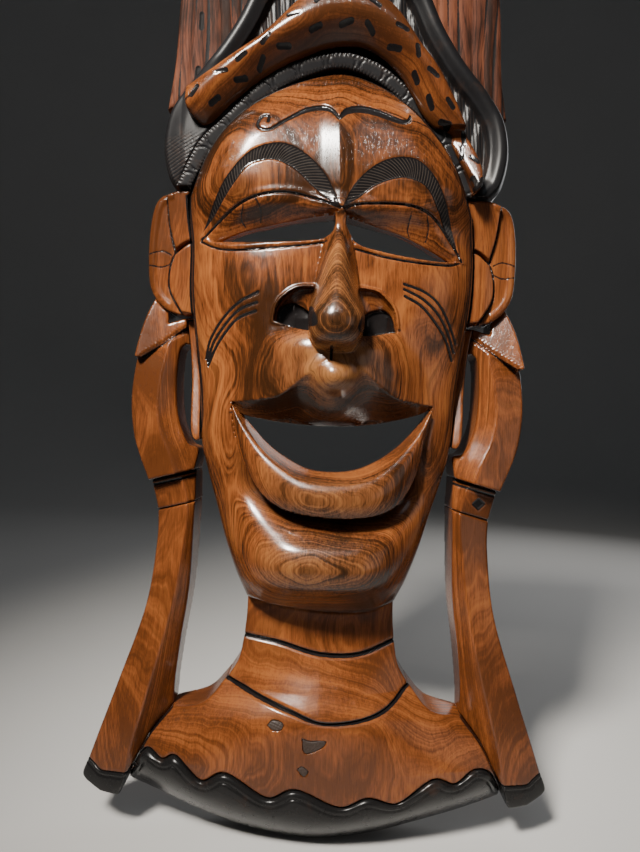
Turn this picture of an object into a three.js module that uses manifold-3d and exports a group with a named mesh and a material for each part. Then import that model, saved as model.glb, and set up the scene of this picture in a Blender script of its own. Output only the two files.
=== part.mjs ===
// A carved hardwood wall mask: a long face under a headdress, with stretched earlobes that run down into
// two slender side arms, a ringed neck and a bust with a scalloped hem. Millimetres, +Z up, X to the
// viewer's right, the face looking along -Y. The flat back lies in the plane y = 0 while the pieces are
// shaped, and depths are measured forwards from it. The finished group has its origin where a wall hook
// holds the hanger ring.

import * as THREE from 'three';
import { mergeVertices } from 'three/addons/utils/BufferGeometryUtils.js';
import Module from 'manifold-3d';

const wasm = await Module();
wasm.setup();

// Driving dimensions of the carving
const GAP = 0.3; // clearance between neighbouring pieces
const HEIGHT = 562; // lowest point of the hem to the top of the headdress
const FACE_EDGE_DEPTH = 37; // front surface at the sides of the face
const HAIR_DEPTH = 47;
const PANEL_DEPTH = 25;
const BRIM_DEPTH = 64;
const FEATURE_OFFSET = 3; // nose, eyes and mouth sit this far right of the middle
const SHELL_WALL = 13; // thickness of the face between its front and the hollow behind it
const RIM_WIDTH = 13; // solid rim left around that hollow
const CUT_DEPTH = 140; // reach of the prisms that cut right through
const PAST_BACK = 5; // how far a pocket's cutter stands out behind the flat back
const TOUCHING = 0.05; // points of an outline closer than this are one point
const MERGE_TOLERANCE = 1e-4;
const CURVE_STEPS = 2; // straight steps between two points of a curved outline
// Width of the grid cells that carry the shape of each front
const CELLS = {
  face: 6, ear: 7, relief: 8, plain: 9, hollow: 12, neck: 12, bust: 14, hood: 18,
};

// Relief of the headdress
const HAIR_HALF_WIDTH = 95;
const HAIR_FALL = 9; // how much lower the hair and hood lie at their sides
const FLUTE_WIDTH = 15;
const FLUTE_DEPTH = 2.5;
const BRIM_HALF_WIDTH = 92;
const BRIM_SIDE_FALL = 12;
const BRIM_ROOT = 2; // how far the brim's foot stands out from the hair
const BRIM_ROLL = [[0, 0], [8, 0.64], [12, 0.88], [17, 1]]; // its rise at distances from the foot

// Relief of the ears, loops and arms
const EAR_DEPTH = 30;
const EAR_UPPER = { rise: 4, x: 94, z: 375, halfWidth: 16, halfHeight: 26 };
const EAR_LOWER = { rise: 3, x: 92, z: 338, halfWidth: 18, halfHeight: 18 };
const LOOP_CREST_DEPTH = 34;
const LOOP_CREST = 98; // distance of the crest from the middle of the mask
const LOOP_SLOPE = 0.35;
const STRIP_PROFILE = [[245, 37.5], [262, 36], [303, 27], [320, 25.5]]; // depth at heights above the hem
const ARM_CREST_DEPTH = 34;
const ARM_SLOPE = 0.42;

// Bust and neck at heights above the hem: middle depth, and half width of the round they are part of
const BUST_PROFILE = [[0, 27], [28, 50], [60, 53.5], [80, 53.5], [96, 45.5], [108, 39.5], [120, 36]];
const BUST_HALF_WIDTH = [[50, 135], [95, 62]];
const BUST_EDGE_DEPTH = 24;
const FILLER_DEPTH = 2.5;
const FILLER_REACH = 5; // how far a filler's cutter stands out in front of the bust

// Driving dimensions of the hanger
const HANGER_HEIGHT = 519; // axis of the ring above the lowest point of the hem
const WIRE_RADIUS = 1.4;
const RING_HALF_WIDTH = 9.6; // to the middle of the wire
const RING_DROP = 18; // axis to the middle of the wire at the foot of the loop
const RING_CORNER = 2.5;
const STRAP_WIDTH = 12;
const STRAP_LENGTH = 31; // below the ring's axis
const STRAP_THICKNESS = 1.2;
const KNUCKLE_INNER_RADIUS = 1.8;
const KNUCKLE_END = THREE.MathUtils.degToRad(-100); // where the rolled end of the strap stops
const POCKET_DEPTH = 10;
const POCKET_WIDTH = 34;
const POCKET_ABOVE = 24; // room above the axis for the ring to stand up
const POCKET_BELOW = 35;
const POCKET_CORNER = 10;
const SCREW_HEAD_RADIUS = 3.4;
const SCREW_HEAD_HEIGHT = 1.7;
const SCREW_SHANK_RADIUS = 1.5;
const SCREW_LENGTH = 13;
const SCREW_TIP = 4; // length of the screw's point
const SCREW_SLOT_WIDTH = 0.9;
const SCREW_DOME = [[1, 0], [0.9, 0.6], [0.55, 1], [0, 1]]; // its head, as shares of head radius and height
const SCREW_DROPS = [9, 25]; // screw centres below the ring's axis
const STRAP_CORNER = 4;
const ROUND_SEGMENTS = 20;
const KNUCKLE_SEGMENTS = 14;
const CORNER_SEGMENTS = 5;
const RING_STEPS = 44;
const WIRE_SIDES = 8;

// Depth of the face along its centre line, at heights above the hem
const FACE_PROFILE = [[140, 40], [145, 44], [157, 61], [170, 72], [176, 73], [184, 70.5], [193, 66],
  [204, 62.5], [240, 60], [300, 61.5], [345, 60], [372, 59.5], [384, 63], [410, 63], [425, 61], [438, 58],
  [455, 51.5], [475, 43]];
// Half width of the face at heights above the hem
const FACE_HALF_WIDTH = [[140, 44], [150, 45], [165, 52], [184, 59], [205, 65], [225, 71], [245, 76],
  [275, 78], [305, 82], [335, 86], [362, 87], [480, 88]];
const NOSE_HALF_WIDTH = [[302, 12], [312, 14.5], [322, 14], [345, 10], [365, 6.5], [382, 4]];
const NOSE_RISE = [[300, 0], [306, 20], [313, 32], [322, 32], [345, 21], [365, 10], [382, 1]];
const FACE_ROUNDNESS = 2.6; // higher is flatter in the middle and steeper at the sides
const NOSTRIL = { rise: 8, x: 25, z: 321, halfWidth: 13, halfHeight: 15 };
const EYE_HOLLOW = { rise: -5, x: 40, z: 366, halfWidth: 44, halfHeight: 16 };
// Rolls and grooves along a line, on the right of the features' centre line and mirrored on its left
const LOWER_LIP = { rise: 13, reach: 14, path: [[0, 214], [24, 217], [42, 229], [53, 250], [57, 266]] };
const UPPER_LIP = { rise: 11, reach: 14, path: [[0, 284], [20, 277], [40, 271], [57, 268]] };
const LIP_GROOVE = { rise: -7, reach: 8, path: [[0, 195], [22, 198], [40, 209]] };
const BROW = { rise: 2, reach: 12, path: [[3, 383], [14, 400], [36, 412], [56, 402], [70, 380]] };

// ---------- outlines ----------

function toVectors(points) {
  return points.map(([x, z]) => new THREE.Vector2(x, z));
}

// Joins stretches end to end: a stretch is a spline through its points, and two stretches meet at a corner.
function outline(...stretches) {
  const points = [];
  for (const stretch of stretches) {
    const steps = stretch.length > 2 ? (stretch.length - 1) * CURVE_STEPS : 1;
    for (const point of new THREE.SplineCurve(toVectors(stretch)).getPoints(steps)) {
      const last = points.at(-1);
      if (!last || last.distanceTo(point) > TOUCHING) points.push(point);
    }
  }
  if (points[0].distanceTo(points.at(-1)) < TOUCHING) points.pop();
  return points;
}

// Mirrors an outline to the other side of the mask.
function mirrored(points) {
  return points.map((point) => new THREE.Vector2(-point.x, point.y)).reverse();
}

// Closes half an outline, given from the top of the centre line round to its foot, with its mirror image.
function symmetric(half) {
  const other = mirrored(half);
  return [...half, ...other.filter((point) => Math.abs(point.x) > TOUCHING)];
}

// Moves an outline outwards by a distance, or inwards by a negative one.
function grown(points, distance) {
  const turn = THREE.ShapeUtils.area(points) > 0 ? 1 : -1;
  return points.map((point, i) => {
    const before = points.at(i - 1);
    const after = points[(i + 1) % points.length];
    const into = point.clone().sub(before).normalize();
    const out = after.clone().sub(point).normalize();
    const along = into.add(out).normalize();
    const shift = new THREE.Vector2(along.y, -along.x).multiplyScalar(turn * distance);
    return point.clone().add(shift);
  });
}

// ---------- solids ----------

function toSolid(geometry) {
  geometry.deleteAttribute('normal');
  geometry.deleteAttribute('uv');
  const merged = mergeVertices(geometry, MERGE_TOLERANCE);
  return new wasm.Manifold(new wasm.Mesh({
    numProp: 3,
    vertProperties: merged.attributes.position.array,
    triVerts: new Uint32Array(merged.index.array),
  }));
}

function toGeometry(solid) {
  const mesh = solid.getMesh();
  const geometry = new THREE.BufferGeometry();
  geometry.setAttribute('position', new THREE.BufferAttribute(mesh.vertProperties, mesh.numProp));
  geometry.setIndex(new THREE.BufferAttribute(mesh.triVerts, 1));
  geometry.computeVertexNormals();
  return geometry;
}

// A prism with the outline in the plane of the mask, between two depths.
function prism(points, nearBack, nearFront) {
  const shape = new THREE.Shape(points);
  const geometry = new THREE.ExtrudeGeometry(shape, { depth: nearFront - nearBack, bevelEnabled: false });
  geometry.rotateX(Math.PI / 2);
  geometry.translate(0, -nearBack, 0);
  return toSolid(geometry);
}

function cutter(points) {
  return prism(points, -CUT_DEPTH / 4, CUT_DEPTH);
}

// A block whose front follows one depth function and whose back follows another, cut to an outline.
function carved(points, front, back, cell) {
  const box = new THREE.Box2().setFromPoints(points).expandByScalar(1);
  const size = box.getSize(new THREE.Vector2());
  const centre = box.getCenter(new THREE.Vector2());
  const columns = Math.max(2, Math.round(size.x / cell));
  const rows = Math.max(2, Math.round(size.y / cell));
  const geometry = new THREE.BoxGeometry(size.x, 2, size.y, columns, 1, rows);
  geometry.translate(centre.x, 0, centre.y);
  const place = geometry.attributes.position;
  for (let i = 0; i < place.count; i += 1) {
    const depth = place.getY(i) < 0 ? front : back;
    place.setY(i, -depth(place.getX(i), place.getZ(i)));
  }
  return toSolid(geometry).intersect(cutter(points));
}

const flatBack = () => 0;

// ---------- depth functions ----------

// Value of a table of [position, value] pairs, read along straight lines between them.
function along(table, position) {
  const next = table.findIndex(([start]) => start >= position);
  if (next < 0) return table.at(-1)[1];
  if (next === 0) return table[0][1];
  const [from, low] = table[next - 1];
  const [to, high] = table[next];
  return THREE.MathUtils.lerp(low, high, (position - from) / (to - from));
}

// Distance from a point to a line of straight stretches.
function distanceTo(path, x, z) {
  const point = new THREE.Vector2(x, z);
  let nearest = Infinity;
  for (let i = 1; i < path.length; i += 1) {
    const start = path[i - 1];
    const run = path[i].clone().sub(start);
    const share = THREE.MathUtils.clamp(point.clone().sub(start).dot(run) / run.lengthSq(), 0, 1);
    nearest = Math.min(nearest, start.clone().addScaledVector(run, share).distanceTo(point));
  }
  return nearest;
}

// A rounded hill over a path: 1 on it, 0 beyond the radius.
function hill(distance, radius) {
  const share = Math.min(distance / radius, 1);
  return (1 - share * share) ** 1.5;
}

// Rise of a round feature at a point.
function dome(x, z, feature) {
  const share = Math.hypot((x - feature.x) / feature.halfWidth, (z - feature.z) / feature.halfHeight);
  return feature.rise * hill(share, 1);
}

// Rise of a feature that runs along a line.
function roll(x, z, feature) {
  return feature.rise * hill(distanceTo(toVectors(feature.path), x, z), feature.reach);
}

// Front of the face before its features: a long dome that falls away to both sides.
function faceDomeDepth(x, z) {
  const middle = along(FACE_PROFILE, z);
  const share = Math.min(Math.abs(x) / along(FACE_HALF_WIDTH, z), 1);
  return middle - (middle - FACE_EDGE_DEPTH) * share ** FACE_ROUNDNESS;
}

function faceDepth(x, z) {
  const side = Math.abs(x - FEATURE_OFFSET);
  let depth = faceDomeDepth(x, z);
  const noseHalf = along(NOSE_HALF_WIDTH, z);
  if (side < noseHalf) depth += along(NOSE_RISE, z) * Math.sqrt(1 - (side / noseHalf) ** 2);
  for (const feature of [NOSTRIL, EYE_HOLLOW]) depth += dome(side, z, feature);
  for (const feature of [LOWER_LIP, UPPER_LIP, LIP_GROOVE, BROW]) depth += roll(side, z, feature);
  return depth;
}

function shellBackDepth(x, z) {
  return faceDomeDepth(x, z) - SHELL_WALL;
}

const armCrest = toVectors([[92, 235], [86, 200], [88, 160], [94, 120], [105, 80], [118, 35]]);

function armDepth(x, z) {
  const away = distanceTo(armCrest, Math.abs(x), z);
  return ARM_CREST_DEPTH - ARM_SLOPE * away;
}

function loopDepth(x) {
  return LOOP_CREST_DEPTH - LOOP_SLOPE * Math.abs(Math.abs(x) - LOOP_CREST);
}

function stripDepth(x, z) {
  return along(STRIP_PROFILE, z);
}

function earDepth(x, z) {
  return EAR_DEPTH + dome(Math.abs(x), z, EAR_UPPER) + dome(Math.abs(x), z, EAR_LOWER);
}

// Neck and bust: a round neck that flares into the shoulders, and a hem that turns back underneath.
function bustDepth(x, z) {
  const middle = along(BUST_PROFILE, z);
  const share = Math.min(Math.abs(x) / along(BUST_HALF_WIDTH, z), 1);
  return middle - (middle - BUST_EDGE_DEPTH) * share ** 2;
}

function hairDepth(x) {
  return HAIR_DEPTH - HAIR_FALL * Math.min(Math.abs(x) / HAIR_HALF_WIDTH, 1) ** 2;
}

function panelDepth(x) {
  return PANEL_DEPTH - FLUTE_DEPTH * Math.abs(Math.cos(Math.abs(x) * Math.PI / FLUTE_WIDTH));
}

// The brim turns under towards its foot.
function brimDepth(x, z) {
  const share = Math.min(Math.abs(x) / BRIM_HALF_WIDTH, 1);
  const crest = BRIM_DEPTH - BRIM_SIDE_FALL * share ** 2;
  const foot = hairDepth(x) + BRIM_ROOT;
  return THREE.MathUtils.lerp(foot, crest, along(BRIM_ROLL, distanceTo(brimFoot, x, z)));
}

// ---------- outlines of the pieces ----------

// The hairline sits a little to the left, as it was cut by eye.
const jaw = [[86, 362], [85.5, 335], [82, 305], [78, 275], [76, 245], [71, 225], [65, 205], [59, 184],
  [52, 165], [45, 151]];
const faceOutline = outline(
  [[-90, 394], [-79, 415], [-65, 432.5], [-46, 450], [-23, 463.5], [2, 470.5], [24, 463], [42, 449],
    [57, 432], [70, 415], [78, 398], [84, 385]],
  [[84, 385], ...jaw],
  [[45, 151], [26, 146], [0, 144], [-26, 146], [-45, 151]],
  [...jaw.map(([x, z]) => [-x, z]).toReversed(), [-88.5, 380], [-90, 394]],
);
const hairOutline = outline(
  [[-97, 399], [-84, 425], [-68, 441], [-50, 458], [-28, 471.5], [0, 479], [20, 475], [35, 466],
    [52, 451], [66, 438], [77, 421], [86, 397]],
  [[86, 397], [60, 405], [0, 455], [-60, 405], [-97, 399]],
);
const hoodOutline = symmetric(outline(
  [[0, 546], [30, 540], [51, 524], [64, 500], [77, 481], [94, 462], [103.5, 446], [106.5, 426], [103, 407],
    [97, 398.5]],
  [[97, 398.5], [80, 398.5]],
  [[80, 398.5], [70, 420], [0, 470]],
));
const panelOutline = symmetric(outline(
  [[0, HEIGHT], [45, 560], [80, 552], [97, 538], [101, 520], [103, 482], [107, 452]],
  [[107, 452], [80, 452]],
  [[80, 452], [0, 480]],
));
const brimFootPoints = [[-81, 434], [-75, 436], [-44, 462.5], [-24, 473], [-2, 480.5], [17, 479.5],
  [36, 465.5], [52, 441.5], [68, 427.5], [79, 408], [83, 397]];
const brimFoot = outline(brimFootPoints);
const brimOutline = outline(
  brimFootPoints,
  [[83, 397], [87.5, 404], [83.5, 422.5], [62, 463.5], [47.5, 481.5], [34, 499], [18, 510], [0, 513],
    [-18, 509], [-43, 486], [-54.5, 478], [-91, 455]],
  [[-91, 455], [-90, 443], [-81, 434]],
);
const earOutline = outline(
  [[80, 397], [100, 397.6], [110, 393], [114, 378], [114.7, 355], [112.5, 338], [104, 326.5], [92, 322],
    [80, 322]],
);
const loopOutline = outline(
  [[108.5, 336], [115.5, 320], [120.5, 297], [122.5, 272], [120, 250], [115, 234], [108.3, 219]],
  [[108.3, 219], [80.5, 226.5]],
  [[80.5, 226.5], [79.5, 239], [86, 243], [92.5, 259], [94.5, 280], [93.5, 299], [90.5, 304.5]],
  [[90.5, 304.5], [86, 306], [86, 320.5], [101, 317]],
  [[101, 317], [102.5, 332], [108.5, 336]],
);
const stripOutline = outline(
  [[80, 320], [89.8, 319.5]],
  [[89.8, 319.5], [87.2, 302], [85, 282], [84, 262], [82.8, 250], [79.5, 244.5], [74, 247]],
);
const armBandOutline = outline([[80.5, 226.5], [108.3, 219]], [[108.3, 219], [103.5, 200]],
  [[103.5, 200], [79.7, 207]], [[79.7, 207], [80.5, 226.5]]);
const armOutline = outline(
  [[103.5, 200], [103.5, 180], [109, 140], [125, 92], [138, 55], [142.5, 42]],
  [[142.5, 42], [137, 39], [133, 36.8], [124.5, 37.5], [115.5, 38.5]],
  [[115.5, 38.5], [110, 48], [102, 63], [91, 76.5]],
  [[91, 76.5], [90, 93], [87, 118], [82, 155], [79.7, 207]],
);
const footHemOutline = outline(
  [[142.5, 42], [146.3, 32], [144, 28.5]],
  [[144, 28.5], [133, 24], [120, 24]],
  [[120, 24], [115.5, 38.5]],
  [[115.5, 38.5], [124.5, 37.5], [133, 36.8], [137, 39], [142.5, 42]],
);
// The rings of the neck, from the jaw down: each is a line that dips towards the middle.
const neckRings = [
  [[-45, 151], [-26, 146], [0, 144], [26, 146], [45, 151]],
  [[-46.5, 125], [-25, 119.5], [0, 117], [25, 119.5], [46.5, 125]],
  [[-56.5, 97.5], [-35, 88.5], [0, 81], [35, 88.5], [56.5, 97.5]],
];
const neckUpperOutline = outline(neckRings[0], [[45, 151], [45.3, 138], [46.5, 125]],
  neckRings[1].toReversed(), [[-46.5, 125], [-45.3, 138], [-45, 151]]);
const neckLowerOutline = outline(neckRings[1], [[46.5, 125], [49.5, 110], [56.5, 97.5]],
  neckRings[2].toReversed(), [[-56.5, 97.5], [-49.5, 110], [-46.5, 125]]);
// The scallops between the bust and its hem, cut by hand and so not quite even.
const scallops = [[-118, 30], [-105, 53.5], [-93, 50], [-84, 53], [-68, 40.5], [-53, 47], [-28, 34.5],
  [-11, 40.5], [15, 31], [32, 36.5], [50, 32.8], [71, 46], [85, 42], [97, 49.5], [108, 46], [118, 30]];
const bustOutline = outline(neckRings[2], [[56.5, 97.5], [70, 83], [91, 76.5]],
  [[91, 76.5], [102, 63], [110, 48], [118, 30]], scallops.toReversed(),
  [[-118, 30], [-110, 48], [-102, 63], [-91, 76.5]], [[-91, 76.5], [-70, 83], [-56.5, 97.5]]);
const hemOutline = outline(scallops, [[118, 30], [120, 21]],
  [[120, 21], [100, 17], [64, 10], [35, 3.8], [0, 0], [-35, 3.8], [-64, 10], [-100, 20], [-120, 24]],
  [[-120, 24], [-118, 30]]);
const fillerOutlines = [
  outline([[-29, 78], [-26, 81], [-20, 80], [-20.5, 76.5], [-25, 75.5], [-29, 78]]),
  outline([[-8, 72], [-3, 70.5], [5.5, 71], [3.5, 67], [-6, 63.5], [-8, 72]]),
  outline([[-10.5, 53.5], [-7, 55], [-4, 52.5], [-6.5, 49.5], [-10.5, 53.5]]),
];

// ---------- openings of the face ----------

// Moves an outline sideways onto the centre line of the features.
function onFeatures(points) {
  return points.map((point) => new THREE.Vector2(point.x + FEATURE_OFFSET, point.y));
}

const eyeSlit = outline(
  [[-3.5, 376.5], [-20, 375.5], [-44, 371], [-58, 367.5], [-72, 361.5]],
  [[-72, 361.5], [-57, 360.5], [-37, 359.5], [-18, 360.5], [-7, 364], [-3.5, 376.5]],
);
const mouthOpening = outline(
  [[-52, 263], [-34, 258.5], [0, 256], [34, 258.5], [52, 263]],
  [[52, 263], [44, 247], [30, 236], [0, 229], [-30, 236], [-44, 247], [-52, 263]],
);
const faceOpenings = [eyeSlit, mirrored(eyeSlit), mouthOpening];

// ---------- materials ----------

const rosewood = new THREE.MeshStandardMaterial({ color: 0x6d3a1c, roughness: 0.28, metalness: 0 });
const paleRosewood = new THREE.MeshStandardMaterial({ color: 0x7d4520, roughness: 0.28, metalness: 0 });
const darkRosewood = new THREE.MeshStandardMaterial({ color: 0x4a2716, roughness: 0.35, metalness: 0 });
const blackStain = new THREE.MeshStandardMaterial({ color: 0x1a1715, roughness: 0.4, metalness: 0 });
const filler = new THREE.MeshStandardMaterial({ color: 0x2b1a12, roughness: 0.6, metalness: 0 });
const steel = new THREE.MeshStandardMaterial({ color: 0xa9a9a4, roughness: 0.35, metalness: 1 });

const carving = new THREE.Group();

function addPiece(name, solid, material) {
  const mesh = new THREE.Mesh(toGeometry(solid), material);
  mesh.name = name;
  carving.add(mesh);
}

// ---------- hanger in the pocket of the hood's back ----------

const STRAP_BACK = POCKET_DEPTH - GAP; // depth of the strap's side against the pocket floor
const STRAP_FRONT = STRAP_BACK - STRAP_THICKNESS; // depth of its side towards the wall
const KNUCKLE_OUTER_RADIUS = KNUCKLE_INNER_RADIUS + STRAP_THICKNESS;
const AXIS_DEPTH = STRAP_BACK - KNUCKLE_OUTER_RADIUS;

// A rectangle with one corner radius, centred on x = 0.
function roundedRectangle(width, bottom, top, radius) {
  const shape = new THREE.Shape();
  const half = width / 2;
  shape.moveTo(half, bottom + radius);
  shape.absarc(half - radius, top - radius, radius, 0, Math.PI / 2);
  shape.absarc(-half + radius, top - radius, radius, Math.PI / 2, Math.PI);
  shape.absarc(-half + radius, bottom + radius, radius, Math.PI, Math.PI * 1.5);
  shape.absarc(half - radius, bottom + radius, radius, Math.PI * 1.5, Math.PI * 2);
  return shape.getPoints(CORNER_SEGMENTS).slice(0, -1);
}

// A round bar square to the mask, standing between two depths on the centre line.
function crossBar(radius, height, nearBack, nearFront) {
  const geometry = new THREE.CylinderGeometry(radius, radius, nearFront - nearBack, ROUND_SEGMENTS);
  geometry.translate(0, -(nearBack + nearFront) / 2, height);
  return toSolid(geometry);
}

function makePocket() {
  const points = roundedRectangle(POCKET_WIDTH, HANGER_HEIGHT - POCKET_BELOW, HANGER_HEIGHT + POCKET_ABOVE,
    POCKET_CORNER);
  return prism(points, -PAST_BACK, POCKET_DEPTH);
}

function makePilotHoles() {
  const floor = POCKET_DEPTH - 1;
  const [upper, lower] = SCREW_DROPS.map((drop) =>
    crossBar(SCREW_SHANK_RADIUS + GAP, HANGER_HEIGHT - drop, floor, floor + SCREW_LENGTH));
  return upper.add(lower);
}

// The strap: a strip with its upper end rolled round the ring's straight side.
function makeStrap() {
  const side = new THREE.Shape();
  side.moveTo(-STRAP_BACK, -STRAP_LENGTH);
  side.lineTo(-STRAP_BACK, 0);
  side.absarc(-AXIS_DEPTH, 0, KNUCKLE_OUTER_RADIUS, Math.PI, KNUCKLE_END, true);
  side.absarc(-AXIS_DEPTH, 0, KNUCKLE_INNER_RADIUS, KNUCKLE_END, Math.PI, false);
  side.lineTo(-STRAP_FRONT, -STRAP_LENGTH);
  const geometry = new THREE.ExtrudeGeometry(side,
    { depth: STRAP_WIDTH, bevelEnabled: false, curveSegments: KNUCKLE_SEGMENTS });
  const toAcross = new THREE.Matrix4().makeBasis(new THREE.Vector3(0, 1, 0), new THREE.Vector3(0, 0, 1),
    new THREE.Vector3(1, 0, 0));
  geometry.applyMatrix4(toAcross);
  geometry.translate(-STRAP_WIDTH / 2, 0, HANGER_HEIGHT);
  const roundedEnd = cutter(roundedRectangle(STRAP_WIDTH, HANGER_HEIGHT - STRAP_LENGTH,
    HANGER_HEIGHT + POCKET_ABOVE, STRAP_CORNER));
  let strap = toSolid(geometry).intersect(roundedEnd);
  for (const drop of SCREW_DROPS) {
    strap = strap.subtract(crossBar(SCREW_SHANK_RADIUS + GAP, HANGER_HEIGHT - drop, 0, POCKET_DEPTH));
  }
  return strap;
}

// The ring: one wire bent to a D, its straight side in the strap's knuckle and its bow hanging below.
function makeRing() {
  const half = RING_HALF_WIDTH;
  const corner = RING_CORNER;
  const legs = RING_DROP - half;
  const swell = half * 0.5523; // handle length that makes a cubic curve follow a quarter circle
  const at = (x, z) => new THREE.Vector3(x, -AXIS_DEPTH, HANGER_HEIGHT + z);
  const path = new THREE.CurvePath();
  path.add(new THREE.LineCurve3(at(-half + corner, 0), at(half - corner, 0)));
  path.add(new THREE.QuadraticBezierCurve3(at(half - corner, 0), at(half, 0), at(half, -corner)));
  path.add(new THREE.LineCurve3(at(half, -corner), at(half, -legs)));
  path.add(new THREE.CubicBezierCurve3(at(half, -legs), at(half, -legs - swell), at(swell, -RING_DROP),
    at(0, -RING_DROP)));
  path.add(new THREE.CubicBezierCurve3(at(0, -RING_DROP), at(-swell, -RING_DROP), at(-half, -legs - swell),
    at(-half, -legs)));
  path.add(new THREE.LineCurve3(at(-half, -legs), at(-half, -corner)));
  path.add(new THREE.QuadraticBezierCurve3(at(-half, -corner), at(-half, 0), at(-half + corner, 0)));
  return toSolid(new THREE.TubeGeometry(path, RING_STEPS, WIRE_RADIUS, WIRE_SIDES, true));
}

// A dome-headed wood screw, its head facing the wall.
function makeScrew(height) {
  const underHead = STRAP_FRONT - GAP;
  const head = SCREW_DOME.map(([radius, height]) =>
    [SCREW_HEAD_RADIUS * radius, underHead - SCREW_HEAD_HEIGHT * height]);
  const profile = toVectors([
    [0, underHead + SCREW_LENGTH],
    [SCREW_SHANK_RADIUS, underHead + SCREW_LENGTH - SCREW_TIP],
    [SCREW_SHANK_RADIUS, underHead],
    ...head,
  ]);
  const body = new THREE.LatheGeometry(profile.toReversed(), ROUND_SEGMENTS);
  body.rotateX(Math.PI);
  body.translate(0, 0, height);
  const slot = new THREE.BoxGeometry(SCREW_HEAD_RADIUS * 3, SCREW_HEAD_HEIGHT, SCREW_SLOT_WIDTH);
  slot.translate(0, -(underHead - SCREW_HEAD_HEIGHT), height);
  return toSolid(body).subtract(toSolid(slot));
}

// ---------- headdress ----------

const pocket = makePocket();
const pilotHoles = makePilotHoles();
const faceKeepOut = cutter(grown(faceOutline, GAP));
const hair = carved(hairOutline, hairDepth, flatBack, CELLS.plain).subtract(faceKeepOut);
const hairKeepOut = cutter(grown(hairOutline, GAP));
const hood = carved(hoodOutline, hairDepth, flatBack, CELLS.hood).subtract(faceKeepOut)
  .subtract(hairKeepOut).subtract(pocket).subtract(pilotHoles);
const hoodKeepOut = cutter(grown(hoodOutline, GAP));
const panel = carved(panelOutline, panelDepth, flatBack, FLUTE_WIDTH / 2).subtract(hoodKeepOut);
const brim = carved(brimOutline, brimDepth, (x) => hairDepth(x) + GAP, CELLS.face).subtract(faceKeepOut);

addPiece('headdress_panel', panel, darkRosewood);
addPiece('hood', hood, blackStain);
addPiece('brim_band', brim, rosewood);
addPiece('hair_band', hair, blackStain);

// ---------- face ----------

const hollow = carved(grown(faceOutline, -RIM_WIDTH), shellBackDepth, () => -PAST_BACK, CELLS.hollow);
let face = carved(faceOutline, faceDepth, flatBack, CELLS.face).subtract(hollow);
for (const opening of faceOpenings) face = face.subtract(cutter(onFeatures(opening)));
addPiece('face_shell', face, paleRosewood);

// ---------- ears, earlobes and arms, one set on each side ----------

const bustKeepOut = cutter(grown(bustOutline, GAP)).add(cutter(grown(hemOutline, GAP)));

function addSide(side, onSide) {
  const shapes = {
    ear: onSide(earOutline),
    loop: onSide(loopOutline),
    strip: onSide(stripOutline),
    band: onSide(armBandOutline),
    arm: onSide(armOutline),
    foot: onSide(footHemOutline),
  };
  const keepOut = (name) => cutter(grown(shapes[name], GAP));
  const ear = carved(shapes.ear, earDepth, flatBack, CELLS.ear).subtract(faceKeepOut).subtract(hairKeepOut)
    .subtract(hoodKeepOut);
  const loop = carved(shapes.loop, loopDepth, flatBack, CELLS.plain).subtract(faceKeepOut)
    .subtract(keepOut('ear')).subtract(keepOut('strip')).subtract(keepOut('band'));
  const strip = carved(shapes.strip, stripDepth, flatBack, CELLS.plain).subtract(faceKeepOut)
    .subtract(keepOut('ear'));
  const band = carved(shapes.band, armDepth, flatBack, CELLS.relief);
  const arm = carved(shapes.arm, armDepth, flatBack, CELLS.plain).subtract(bustKeepOut)
    .subtract(keepOut('band')).subtract(keepOut('foot'));
  const foot = carved(shapes.foot, armDepth, flatBack, CELLS.relief).subtract(bustKeepOut);
  addPiece(`${side}_ear`, ear, rosewood);
  addPiece(`${side}_earlobe_loop`, loop, rosewood);
  addPiece(`${side}_earlobe_strip`, strip, rosewood);
  addPiece(`${side}_arm_band`, band, rosewood);
  addPiece(`${side}_arm`, arm, rosewood);
  addPiece(`${side}_foot_hem`, foot, blackStain);
}

addSide('right', (points) => points);
addSide('left', mirrored);

// ---------- neck, bust and hem ----------

const neckUpperKeepOut = cutter(grown(neckUpperOutline, GAP));
const neckLowerKeepOut = cutter(grown(neckLowerOutline, GAP));
const hemKeepOut = cutter(grown(hemOutline, GAP));
const neckUpper = carved(neckUpperOutline, bustDepth, flatBack, CELLS.neck).subtract(faceKeepOut);
const neckLower = carved(neckLowerOutline, bustDepth, flatBack, CELLS.neck).subtract(neckUpperKeepOut);
addPiece('neck_upper', neckUpper, rosewood);
addPiece('neck_lower', neckLower, rosewood);

let bust = carved(bustOutline, bustDepth, flatBack, CELLS.bust).subtract(neckLowerKeepOut)
  .subtract(hemKeepOut);
const surfaceSkin = carved(bustOutline, (x, z) => bustDepth(x, z) + FILLER_REACH,
  (x, z) => bustDepth(x, z) - FILLER_DEPTH, CELLS.bust);
fillerOutlines.forEach((points, i) => {
  const plug = bust.intersect(surfaceSkin).intersect(cutter(points));
  addPiece(`filler_patch_${i + 1}`, plug, filler);
});
for (const points of fillerOutlines) bust = bust.subtract(surfaceSkin.intersect(cutter(grown(points, GAP))));
addPiece('bust', bust, rosewood);
addPiece('hem', carved(hemOutline, bustDepth, flatBack, CELLS.relief), blackStain);

// ---------- hanger ----------

addPiece('hanger_strap', makeStrap(), steel);
addPiece('hanger_ring', makeRing(), steel);
SCREW_DROPS.forEach((drop, i) => addPiece(`hanger_screw_${i + 1}`, makeScrew(HANGER_HEIGHT - drop), steel));

carving.position.set(0, AXIS_DEPTH, -HANGER_HEIGHT);

export default carving;
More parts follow.
